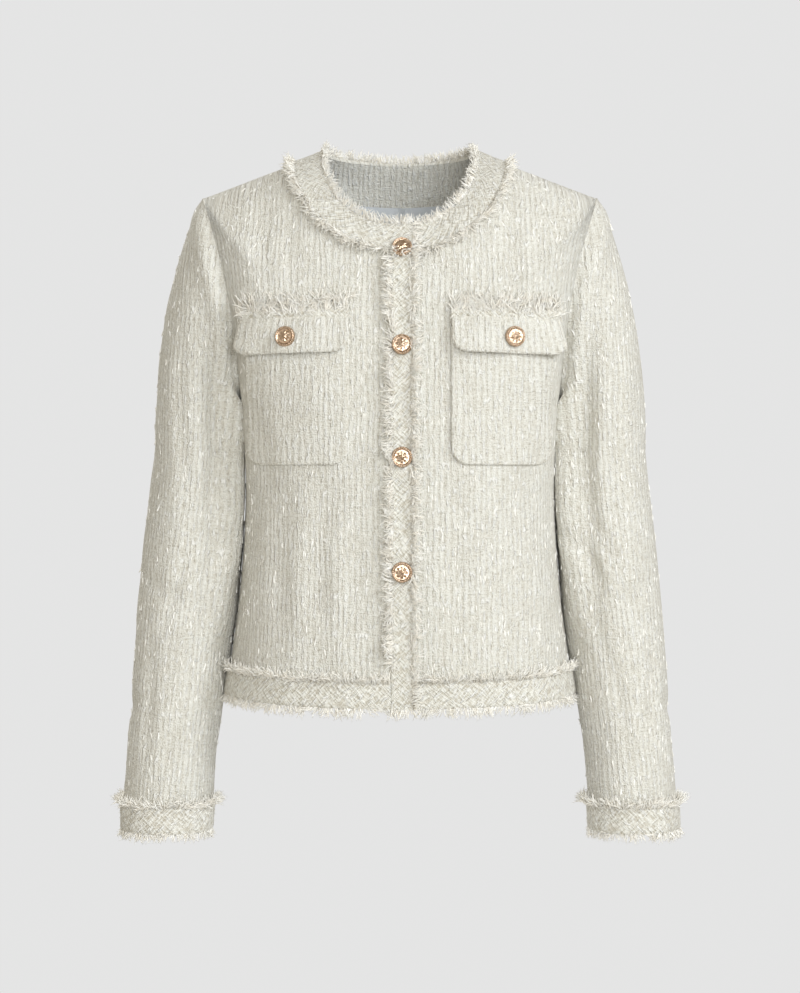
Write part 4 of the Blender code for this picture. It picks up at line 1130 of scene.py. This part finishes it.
def button_height(share, angle):
    """Height over the cloth at a share of the radius."""
    dome = 0.0036 - 0.0006 * share**2
    petal = np.cos(PETALS * angle / 2) ** 2
    flower = 0.00055 * petal * bell(share, 0.36, 0.16) + 0.0006 * bell(share, 0, 0.13)
    beads = 0.00028 * np.cos(2 * PETALS * angle) ** 2 * bell(share, 0.63, 0.045)
    field = -0.0005 * smooth_step(0.15, 0.30, share) * smooth_step(0.76, 0.68, share)
    rope = (0.0009 + 0.00022 * np.cos(ROPE_TURNS * angle + 9 * share)) * bell(share, 0.86, 0.085)
    edge = -0.0022 * smooth_step(0.93, 1.0, share) ** 2
    return dome + flower + beads + field + rope + edge


print("height in the middle, in mm:", round(float(button_height(0.0, 0.0)) * 1000, 2))

# %% The button builder
BUTTON_RADIUS, AROUND = 0.0095, 104
RINGS = np.array([0.05, 0.11, 0.17, 0.23, 0.29, 0.35, 0.41, 0.47, 0.53, 0.59, 0.65, 0.70, 0.735, 0.765, 0.80,
                  0.84, 0.88, 0.92, 0.955, 0.98, 1.0])
UNDERSIDE = ((0.99, 0.0010), (0.90, 0.0003), (0.45, 0.0001))       # share of the radius, height


def mesh_from(bm, name):
    """Turns a finished bmesh into a mesh, shaded smooth."""
    mesh = bpy.data.meshes.new(name)
    bm.to_mesh(mesh)
    bm.free()
    mesh.shade_smooth()
    return mesh


def button(name, point, way, node):
    angles = np.arange(AROUND) * 2 * pi / AROUND
    bm = bmesh.new()
    top = bm.verts.new((0, 0, button_height(0.0, 0.0)))
    rings = [[bm.verts.new((r * BUTTON_RADIUS * cos(a), r * BUTTON_RADIUS * sin(a), button_height(r, a)))
              for a in angles] for r in RINGS]
    rings += [[bm.verts.new((r * BUTTON_RADIUS * cos(a), r * BUTTON_RADIUS * sin(a), height)) for a in angles]
              for r, height in UNDERSIDE]
    under = bm.verts.new((0, 0, 0.0))
    for n in range(AROUND):
        after = (n + 1) % AROUND
        bm.faces.new((top, rings[0][n], rings[0][after]))
        bm.faces.new((under, rings[-1][after], rings[-1][n]))
        for near, far in zip(rings, rings[1:]):
            bm.faces.new((near[n], far[n], far[after], near[after]))
    up = unit(np.array(way))
    right = unit(np.cross((0, 0, 1.0), up))
    axes = np.stack([right, np.cross(up, right), up])
    for vert in bm.verts:
        vert.co = np.array(vert.co) @ axes + point
    mesh = mesh_from(bm, name)
    mesh.materials.append(gold)
    return dress(add_object(name, mesh), "gold", node)


print("button triangles:", AROUND * 2 * (len(RINGS) + len(UNDERSIDE)))

# %% Six buttons
BUTTON_X, BUTTON_GAP = 0.0018, 0.0006
BUTTON_HEIGHTS = (-0.1020, -0.1911, -0.2919, -0.3952)
POCKET_BUTTON_X, POCKET_BUTTON_Z = 0.1010, -0.1838
for number, z in enumerate(BUTTON_HEIGHTS, 1):
    point, way = on_front(np.array([BUTTON_X]), np.array([z]), -1)
    way = unit(way[0] * (0, 1, 1))
    point = np.array([BUTTON_X, point[0, 1], point[0, 2]]) + way * (SEAM_GAP + BAND_CLOTH + 2 * BUTTON_GAP)
    button(f"gilt_button_front_{number}", point, way, f"button_front_{number}")
for side, turn in SIDES:
    point, way = on_front(np.array([POCKET_BUTTON_X]), np.array([POCKET_BUTTON_Z]), turn)
    stand = FLAP_LIFTS[-2, 1] + FLAP_CLOTH + 2 * BUTTON_GAP
    button("gilt_button_pocket_" + side, point[0] + way[0] * stand, way[0], "button_pocket_" + side)
print("buttons:", len(BUTTON_HEIGHTS) + len(SIDES))

# %% [markdown]
# ## Loose yarn
#
# Frayed edges, slubs and stitches are all the same job: many short bits of yarn, each with a root, a way to
# point and an up. A guide mesh holds one vertex for each, with the two directions as attributes, and one
# Geometry Nodes tree turns any guide into yarn. It picks one of several strand shapes, aims it, leans it,
# scales it and makes the copies real. A hair system would be finer, but it can't be exported as a solid.

# %% Strand shapes
def strand(name, sides, rings, radius, bend, seed, taper=True):
    """One bit of yarn, a unit long, that leaves the origin along +X; `radius` is a share of its length."""
    chance = np.random.RandomState(seed)
    share = np.linspace(0, 1, rings + 1)
    lean, curl = chance.uniform(-bend, bend, 2)[:, None], chance.uniform(-bend, bend, 2)[:, None]
    swing = lean * share + curl * share**2
    ahead = unit(np.stack([np.ones(rings + 1), swing[0], swing[1]], axis=1))
    line = np.concatenate([[(0, 0, 0)], np.cumsum(ahead[:-1], axis=0) / rings])
    bm = bmesh.new()
    loops = []
    for place, way, t in zip(line[:-1], ahead[:-1], share):
        right = unit(np.cross(way, (0.0, 0.0, 1.0)))
        up = np.cross(right, way)
        width = radius * ((1 - 0.55 * t**2) if taper else (0.55 + 1.8 * t * (1 - t)))
        turns = [2 * pi * n / sides for n in range(sides)]
        loops.append([bm.verts.new(place + width * (right * cos(a) + up * sin(a))) for a in turns])
    tip = bm.verts.new(line[-1])
    for near, far in zip(loops, loops[1:]):
        for n in range(sides):
            after = (n + 1) % sides
            bm.faces.new((near[n], near[after], far[after], far[n]))
    for n in range(sides):
        bm.faces.new((loops[-1][n], loops[-1][(n + 1) % sides], tip))
    bm.faces.new(loops[0][::-1])
    bmesh.ops.recalc_face_normals(bm, faces=bm.faces)
    return bpy.data.objects.new(name, mesh_from(bm, name))


def strand_set(name, count, **shape):
    made = bpy.data.collections.new(name)
    for number in range(count):
        made.objects.link(strand(f"{name}_{number}", seed=number, **shape))
    return made


frayed = strand_set("frayed_strand", 10, sides=3, rings=4, radius=0.042, bend=1.2)
slub = strand_set("slub", 6, sides=4, rings=4, radius=0.105, bend=0.5, taper=False)
stitch = strand_set("stitch", 1, sides=4, rings=3, radius=0.12, bend=0.0, taper=False)


def triangle_count(mesh):
    return sum(len(p.vertices) - 2 for p in mesh.polygons)


# %% [markdown]
# ### The yarn tree
#
# Each strand first turns so that its +X lies along the guide's way and its +Z along the guide's up. Then it
# rises off the cloth by a random angle, leans to one side and rolls about itself. Part of the lean comes from
# noise over the places, so neighbours lean together and the fringe falls into clumps, as real yarn does.

# %% Inputs of the yarn tree
INPUTS = {"Guide": ("Geometry", None), "Strands": ("Collection", None), "Shortest": ("Float", 0.006),
          "Longest": ("Float", 0.012), "Lean": ("Float", 0.5), "Least Rise": ("Float", 0.0),
          "Most Rise": ("Float", 0.4), "Clumping": ("Float", 0.6), "Seed": ("Int", 0),
          "Finish": ("Material", None)}
CLUMPS_PER_METRE, CLUMP_LEAN = 75.0, 5.0


def open_tree(name, inputs, output):
    """An empty tree with these named inputs and one output of geometry."""
    tree = bpy.data.node_groups.new(name, "GeometryNodeTree")
    for label, (kind, value) in inputs.items():
        socket = tree.interface.new_socket(label, in_out="INPUT", socket_type="NodeSocket" + kind)
        if value is not None:
            socket.default_value = value
    tree.interface.new_socket(output, in_out="OUTPUT", socket_type="NodeSocketGeometry")
    return tree, tree.nodes.new("NodeGroupInput").outputs


print("named inputs:", list(INPUTS))


# %% The yarn tree
def yarn_tree():
    tree, given = open_tree("yarn on guides", INPUTS, "Yarn")

    def attribute(name):
        return add_node(tree, "GeometryNodeInputNamedAttribute", {"Name": name},
                        data_type="FLOAT_VECTOR").outputs[0]

    def chance(low, high, offset):
        seed = calc(tree, "ADD", given["Seed"], float(offset))
        return add_node(tree, "FunctionNodeRandomValue", {2: low, 3: high, "Seed": seed},
                        data_type="FLOAT").outputs[1]

    less = calc(tree, "MULTIPLY", given["Lean"], -1.0)
    place = add_node(tree, "GeometryNodeInputPosition").outputs[0]
    clump = add_node(tree, "ShaderNodeTexNoise", {"Vector": place, "Scale": CLUMPS_PER_METRE, "Detail": 0.0},
                     noise_dimensions="3D").outputs["Fac"]
    pulled = calc(tree, "MULTIPLY", calc(tree, "SUBTRACT", clump, 0.5), given["Clumping"])
    pulled = calc(tree, "MULTIPLY", pulled, CLUMP_LEAN)
    lean = calc(tree, "ADD", chance(less, given["Lean"], 1), pulled)
    rise = chance(given["Least Rise"], given["Most Rise"], 2)
    down = calc(tree, "MULTIPLY", rise, -1.0)
    aim = add_node(tree, "FunctionNodeAxesToRotation", {0: attribute("way"), 1: attribute("up")},
                   primary_axis="X", secondary_axis="Z").outputs[0]
    roll = add_node(tree, "ShaderNodeCombineXYZ", {"X": chance(-3.1, 3.1, 3)}).outputs[0]
    tilt = add_node(tree, "ShaderNodeCombineXYZ", {"Y": down, "Z": lean}).outputs[0]
    for angles in (tilt, roll):
        turn = add_node(tree, "FunctionNodeEulerToRotation", {0: angles}).outputs[0]
        aim = add_node(tree, "FunctionNodeRotateRotation", {0: aim, 1: turn},
                       rotation_space="LOCAL").outputs[0]
    shapes = add_node(tree, "GeometryNodeCollectionInfo",
                      {"Collection": given["Strands"], "Separate Children": True,
                       "Reset Children": True}).outputs[0]
    pick = add_node(tree, "FunctionNodeRandomValue", {4: 0, 5: 1000, "Seed": given["Seed"]},
                    data_type="INT").outputs[2]
    copies = add_node(tree, "GeometryNodeInstanceOnPoints",
                      {"Points": given["Guide"], "Instance": shapes, "Pick Instance": True,
                       "Instance Index": pick, "Rotation": aim,
                       "Scale": chance(given["Shortest"], given["Longest"], 4)}).outputs[0]
    solid = add_node(tree, "GeometryNodeRealizeInstances", {0: copies}).outputs[0]
    final = add_node(tree, "GeometryNodeSetMaterial",
                     {"Geometry": solid, "Material": given["Finish"]}).outputs[0]
    tree.links.new(final, tree.nodes.new("NodeGroupOutput").inputs[0])
    return tree


yarn_on_guides = yarn_tree()
print("yarn tree nodes:", len(yarn_on_guides.nodes))


# %% From a guide to a piece
def guide_mesh(name, points, ways, ups):
    mesh = bpy.data.meshes.new(name)
    mesh.from_pydata(points.tolist(), [], [])
    for label, values in (("way", ways), ("up", ups)):
        attribute = mesh.attributes.new(label, "FLOAT_VECTOR", "POINT")
        attribute.data.foreach_set("vector", np.ascontiguousarray(values).ravel())
    return add_object(name, mesh)


def lay_yarn(name, roots, ways, ups, nodes=(), **inputs):
    """Runs the tree on a guide with these roots and keeps the result as a plain mesh piece."""
    guide = guide_mesh(name + "_guide", roots, ways, ups)
    modifier = guide.modifiers.new("yarn", "NODES")
    modifier.node_group = yarn_on_guides
    given = {key.replace("_", " "): value for key, value in inputs.items()}
    for item in yarn_on_guides.interface.items_tree:
        if item.in_out == "INPUT" and item.name in given:
            modifier[item.identifier] = given[item.name]
    bpy.context.view_layer.update()
    graph = bpy.context.evaluated_depsgraph_get()
    mesh = bpy.data.meshes.new_from_object(guide.evaluated_get(graph), preserve_all_data_layers=True,
                                           depsgraph=graph)
    mesh.name = name
    for label in ("way", "up"):
        if label in mesh.attributes:
            mesh.attributes.remove(mesh.attributes[label])
    bpy.data.objects.remove(guide)
    print(f"{name}: {triangle_count(mesh)} triangles")
    return dress(add_object(name, mesh), "yarn", *nodes)


print("guide helper ready")

# %% Roots along an edge
FRINGE = {"Shortest": 0.006, "Longest": 0.015, "Lean": 0.5, "Least_Rise": -0.1, "Most_Rise": 0.45,
          "Clumping": 0.8}


def read_along(values, run, marks):
    """Values between the points of a line at these distances along it."""
    return np.stack([np.interp(marks, run, values[:, n]) for n in range(3)], axis=1)


def along_edge(edge, away, up, per_metre, depth, height, seed, wrap=False):
    """Roots spread along an edge, a `depth` behind it and a `height` above it, both (least, most)."""
    chance = np.random.RandomState(seed)
    if wrap:
        edge, away, up = (np.concatenate([a, a[:1]]) for a in (edge, away, up))
    run = from_zero(step_lengths(edge))
    count = int(run[-1] * per_metre)
    marks = np.sort(chance.uniform(0, run[-1], count))
    line, way, top = (read_along(a, run, marks) for a in (edge, away, up))
    way, top = unit(way), unit(top)
    roots = line - way * chance.uniform(*depth, (count, 1)) + top * chance.uniform(*height, (count, 1))
    return roots, way, top


def rim(grid, ways, row, inner, lift=0.0):
    """A row of a grid as an edge, with its directions away from an inner row and out of the cloth."""
    return grid[row] + ways[row] * lift, unit(grid[row] - grid[inner]), ways[row]


def fringe(name, edge, away, up, nodes=(), per_metre=3300, depth=(0, 0.003), height=(0, 0.0015), seed=0,
           wrap=False, **look):
    roots = along_edge(edge, away, up, per_metre, depth, height, seed, wrap)
    return lay_yarn("fray_" + name, *roots, nodes, Strands=frayed, Seed=seed, Finish=frayed_yarn,
                    **{**FRINGE, **look})


# %% [markdown]
# ### Frayed edges
#
# The neck and the hem fray at both edges of their band, the placket at both sides and the cuffs above and
# below. Most of this yarn is free to stand well away from the cloth, which gives the jacket its tufted
# outline. At the lower edges it hangs, so it rises less there.

# %% Fringes of the neck and the hem
TUFTED, CUFF_TUFTED = (0.0008, 0.0042), (0.0008, 0.0038)       # how far above its row standing yarn starts
fringe("neck_inner", *rim(neck_grid, neck_ways, 0, 4, 0.0008), ["fringe_neck_inner"], height=(0, 0.0026),
       Most_Rise=0.9, Longest=0.013, seed=1)
fringe("neck_outer", *rim(neck_grid, neck_ways, -1, -5), ["fringe_neck_outer"], height=TUFTED, Least_Rise=0.1,
       Most_Rise=0.95, seed=2)
fringe("hem_upper", *rim(hem_grid, hem_ways, 0, 4), ["fringe_hem_upper"], height=(0.0008, 0.0040),
       Least_Rise=0.15, Most_Rise=1.0, seed=3)
fringe("hem_lower", *rim(hem_grid, hem_ways, -1, -5), ["fringe_hem_lower"], height=(-0.0015, 0.0016),
       Least_Rise=-0.2, Most_Rise=0.30, Longest=0.014, seed=4)

# %% Fringes of the placket
for side, column, beside, ends in (("left", 0, 3, (0, 150)), ("right", -1, -4, (3, 141))):
    edge, away, up = (a[slice(*ends)] for a in rim(placket_columns, placket_column_ways, column, beside))
    fringe("placket_" + side, edge, away, up, ["fringe_placket_" + side], height=TUFTED,
           depth=(-0.0005, 0.003), Least_Rise=0.10, Most_Rise=0.95, seed=5 + column)
neck_ends, neck_end_ways = (np.swapaxes(a, 0, 1)[:, ::-1] for a in (neck_grid, neck_ways))
fringe("neck_end", *rim(neck_ends, neck_end_ways, 0, 3, 0.0012), height=(0, 0.002), seed=8)
fringe("placket_end", *rim(placket_grid, placket_ways, -1, -4), height=(0, 0.0022), seed=9)

# %% Fringes of the cuffs and flaps
for side, first_seed in (("left", 30), ("right", 20)):
    cuff, ways, up_way = cuffs[side]
    fringe("cuff_upper_" + side, cuff[0], up_way, ways[0], ["fringe_cuff_upper_" + side], height=CUFF_TUFTED,
           Least_Rise=0.15, Most_Rise=1.0, wrap=True, seed=first_seed)
    fringe("cuff_lower_" + side, cuff[-1], -up_way, ways[-1], ["fringe_cuff_lower_" + side],
           height=(-0.0015, 0.0018), Least_Rise=-0.15, Longest=0.012, wrap=True, seed=first_seed + 1)
    trim, flap_face = patch_faces["flap_trim_" + side], patch_faces["pocket_flap_" + side]
    fringe("flap_" + side, *rim(*trim, 0, -1), ["fringe_flap_" + side], per_metre=5400,
           depth=(-0.001, 0.0145), height=(-0.0006, 0.0026), Least_Rise=0.0, Most_Rise=0.7, Lean=0.9,
           Longest=0.016, seed=first_seed + 2)
    fringe("flap_edge_" + side, *rim(*flap_face, -1, -3), per_metre=900, depth=(-0.0002, 0.0012),
           height=(-0.0012, 0.0002), Least_Rise=-0.5, Most_Rise=0.5, Lean=1.1, Shortest=0.0015,
           Longest=0.0034, seed=first_seed + 4)
    fringe("flap_seam_" + side, *rim(*trim, -1, 0), per_metre=1600, depth=(0, 0.004),
           height=(-0.0012, 0.0002), Least_Rise=0.0, Most_Rise=0.2, Lean=0.8, Shortest=0.004, Longest=0.008,
           seed=first_seed + 3)

# %% [markdown]
# ### Slubs and stitches
#
# Here and there the fancy yarn swells into a pale glossy slub that lies along the warp and breaks the
# outline. Stitches hold down the pockets, the flaps and the bands of the body.

# %% Places scattered over a grid
PLUMB_SQUEEZE, PLUMB_PULL = (0.15, 1, 1), (0, 0, -0.2)         # turns the columns of a grid towards plumb
SUNK = 0.0002


def scattered(grid, ways, count, seed, margin=4, wrap=False):
    """Random places on a grid, evenly over its area, with the warp's direction and the outward one."""
    chance = np.random.RandomState(seed)
    line = closed(grid, wrap)
    down, sideways = line[1:, :-1] - line[:-1, :-1], line[:-1, 1:] - line[:-1, :-1]
    cells = np.linalg.norm(np.cross(down, sideways), axis=-1)
    cells[:margin], cells[-margin:] = 0, 0
    if not wrap:
        cells[:, :margin], cells[:, -margin:] = 0, 0
    picked = chance.choice(cells.size, count, p=(cells / cells.sum()).ravel())
    low, left = np.divmod(picked, cells.shape[1])
    a, b = chance.uniform(size=(2, count, 1))
    right = (left + 1) % grid.shape[1]

    def at(values):
        return ((1 - a) * (1 - b) * values[low, left] + (1 - a) * b * values[low, right]
                + a * (1 - b) * values[low + 1, left] + a * b * values[low + 1, right])

    warp = unit(unit(grid[low + 1, left] - grid[low, left]) * PLUMB_SQUEEZE + PLUMB_PULL)
    flip = np.where(chance.uniform(size=(count, 1)) < 0.5, -1, 1)
    top = unit(at(ways))
    return at(grid) - top * SUNK, unit(warp - top * (warp * top).sum(axis=1, keepdims=True)) * flip, top


print("roots, ways and ups on the back:", [a.shape for a in scattered(back_grid, back_ways, 5, 1)])

# %% Slubs on the panels
SLUBS = (("front_right", right_grid, right_ways, 600, False),
         ("front_left", left_grid, left_ways, 600, False),
         ("back", back_grid, back_ways, 1100, False),
         ("sleeve_right", *sleeves["right"][:2], 1000, True),
         ("sleeve_left", *sleeves["left"][:2], 1000, True))
for number, (name, grid, ways, count, wrap) in enumerate(SLUBS):
    lay_yarn("slubs_" + name, *scattered(grid, ways, count, 40 + number, wrap=wrap), Strands=slub,
             Shortest=0.003, Longest=0.008, Lean=0.16, Least_Rise=-0.06, Most_Rise=0.10, Clumping=0.05,
             Seed=50 + number, Finish=slub_yarn)

# %% [markdown]
# On the bias bands the loops lie both ways across, so they tangle into a crosshatch.

# %% Loops on the bands
ON_BAND = SEAM_GAP + BAND_CLOTH
LOOP_LIFT = ON_BAND + 0.0006
band_surfaces = [("neck", neck_grid, neck_ways, 380, LOOP_LIFT, False),
                 ("hem", hem_grid, hem_ways, 600, LOOP_LIFT, False),
                 ("placket", placket_grid, placket_ways, 320, LOOP_LIFT, False)]
for side in ("left", "right"):
    band_surfaces.append(("cuff_" + side, *cuffs[side][:2], 220, LOOP_LIFT, True))
    band_surfaces.append(("trim_" + side, *patch_faces["flap_trim_" + side], 200, 0.0, False))
for number, (name, grid, ways, count, lift, wrap) in enumerate(band_surfaces):
    points, way, up = scattered(grid, ways, count, 80 + number, margin=1, wrap=wrap)
    slant = np.where(np.random.RandomState(90 + number).uniform(size=(count, 1)) < 0.5, -1, 1)
    lay_yarn("loops_" + name, points + up * lift, unit(way + slant * np.cross(up, way)), up, Strands=frayed,
             Shortest=0.003, Longest=0.007, Lean=0.35, Least_Rise=-0.05, Most_Rise=0.16, Clumping=0.05,
             Seed=100 + number, Finish=slub_yarn)


# %% Stitches
STITCH, STITCH_SPACING = 0.0028, 0.0040
STITCH_INSET, PATCH_STITCH_LIFT, PLACKET_STITCH_LIFT, BAND_STITCH_LIFT = 3, 0.0001, 0.0008, 0.0007


def stitched(edge, ups):
    """A row of evenly spaced stitches along a line."""
    run = from_zero(step_lengths(edge))
    marks = np.arange(STITCH_SPACING / 2, run[-1], STITCH_SPACING)
    points, after = read_along(edge, run, marks), read_along(edge, run, marks + STITCH)
    return points, unit(after - points + 1e-9), unit(read_along(ups, run, marks))


def down_and_round(grid, n):
    """Down one side of a patch, along its lower edge and up the other, n points inside its outline."""
    return np.concatenate([grid[n:-n, n], grid[-n, n:-n], grid[n:-n, -n - 1][::-1]])


rows_of_stitches = []
for side in ("left", "right"):
    for label in ("patch_pocket_", "pocket_flap_"):
        line, ups = (down_and_round(a, STITCH_INSET) for a in patch_faces[label + side])
        rows_of_stitches.append(stitched(line + ups * PATCH_STITCH_LIFT, ups))
for grid, ways, row, lift in ((placket_columns, placket_column_ways, 3, PLACKET_STITCH_LIFT),
                              (placket_columns, placket_column_ways, -4, PLACKET_STITCH_LIFT),
                              (neck_grid, neck_ways, -4, BAND_STITCH_LIFT),
                              (neck_grid, neck_ways, 3, BAND_STITCH_LIFT),
                              (hem_grid, hem_ways, 3, BAND_STITCH_LIFT),
                              (hem_grid, hem_ways, -4, BAND_STITCH_LIFT)):
    rows_of_stitches.append(stitched(grid[row] + ways[row] * (ON_BAND + lift), ways[row]))
roots = (np.concatenate(part) for part in zip(*rows_of_stitches))
lay_yarn("stitches", *roots, Strands=stitch, Shortest=STITCH, Longest=STITCH * 1.05, Lean=0.05,
         Least_Rise=-0.02, Most_Rise=0.02, Clumping=0.0, Seed=70, Finish=sewing_thread)
print("rows of stitches:", len(rows_of_stitches))

# %% [markdown]
# ## Sizes of the cloth
#
# The size of every cut piece's flat cut is read from its UVs and printed.

# %% Flat sizes
for name, (uv, area) in made_cloth.items():
    width, length = (float(uv[..., n].max() - uv[..., n].min()) for n in range(2))
    cut = min(area, width * length)
    print(f"{name}: {width * 1000:.0f} x {length * 1000:.0f} mm, cut {cut * 1e4:.0f} square cm")

# %% [markdown]
# ## Floor, light and camera
#
# The jacket hangs in a pale room over a small pale floor, and nothing stands behind it, so it can be looked
# at from every side. A large soft light from the right models the ribs, one from the front looks into the
# neck, a weak warm one from the left fills the shadows and one behind lights the back. The room's own light
# is dim and warm, but the camera sees it as an even pale grey. The camera stands level with the middle of
# the jacket.

# %% The floor
FLOOR_HEIGHT, FLOOR_RADIUS, FLOOR_CORNERS = -0.95, 0.62, 64


def floor_disc():
    mesh = bpy.data.meshes.new("studio_floor")
    rim_points = [(FLOOR_RADIUS * cos(a), FLOOR_RADIUS * sin(a), FLOOR_HEIGHT)
                  for a in np.linspace(0, 2 * pi, FLOOR_CORNERS, endpoint=False)]
    mesh.from_pydata(rim_points, [], [tuple(range(FLOOR_CORNERS))])
    return add_object("studio_floor", mesh)


pale_floor, tree, shader = new_material("pale_floor", 0.9, Specular_IOR_Level=0.1)
place = add_node(tree, "ShaderNodeTexCoord").outputs["Object"]
paper = stretched_noise(tree, place, (3, 3, 3), 1.0, flat=False)
paint(tree, shader, mix_colour(tree, paper, (0.80, 0.80, 0.795), (0.82, 0.82, 0.815)))
stage = floor_disc()
stage.data.materials.append(pale_floor)
print("floor:", 2 * FLOOR_RADIUS, "m across")


# %% Lights and the room
def soft_light(name, place, aim, size, power, colour):
    data = bpy.data.lights.new(name, "AREA")
    data.shape, data.size, data.energy, data.color = "DISK", size, power, colour
    made = add_object(name, data)
    made.location = place
    from_to = np.array(aim, float) - place
    made.rotation_euler = mathutils.Vector(from_to).to_track_quat("-Z", "Y").to_euler()


soft_light("key", (1.9, -1.8, 0.9), (0, 0, -0.3), 1.3, 39, (0.94, 0.985, 1.04))
soft_light("front", (0.4, -2.5, 0.0), (0, 0, -0.2), 1.0, 31, (0.94, 0.985, 1.04))
soft_light("fill", (-1.9, -2.0, 0.0), (0, 0, -0.35), 1.6, 5, (1.02, 0.985, 0.92))
soft_light("behind", (-1.0, 2.4, 0.8), (0, 0, -0.3), 1.4, 56, (0.97, 0.99, 1.0))
world = bpy.data.worlds.new("soft_room")
world.use_nodes = True
seen = add_node(world.node_tree, "ShaderNodeLightPath").outputs["Is Camera Ray"]
room = mix_colour(world.node_tree, seen, (0.45, 0.425, 0.37), (0.780, 0.781, 0.779))
world.node_tree.links.new(room, world.node_tree.nodes["Background"].inputs["Color"])
bpy.context.scene.world = world
bpy.context.scene.view_settings.view_transform = "Standard"
print("lights:", len(bpy.data.lights))

# %% The camera
CAMERA_DISTANCE, VIEW_WIDTH, EYE_HEIGHT, SENSOR_WIDTH = 2.2, 0.76, -0.327275, 36
lens = bpy.data.cameras.new("camera")
lens.sensor_fit, lens.sensor_width = "HORIZONTAL", SENSOR_WIDTH
lens.lens = SENSOR_WIDTH * CAMERA_DISTANCE / VIEW_WIDTH
camera = add_object("camera", lens)
camera.location = (0, -CAMERA_DISTANCE, EYE_HEIGHT)
camera.rotation_euler = (pi / 2, 0, 0)
bpy.context.scene.camera = camera
print("lens:", round(lens.lens, 1), "mm")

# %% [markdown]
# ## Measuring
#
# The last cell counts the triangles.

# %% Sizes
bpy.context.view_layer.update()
shown = [o for o in bpy.context.scene.objects if o.type == "MESH" and not o.hide_render and o is not stage]
triangles = {piece.name: triangle_count(piece.data) for piece in shown}
largest = max(triangles, key=triangles.get)
print("pieces:", len(shown), "triangles:", sum(triangles.values()), "most:", largest, triangles[largest])
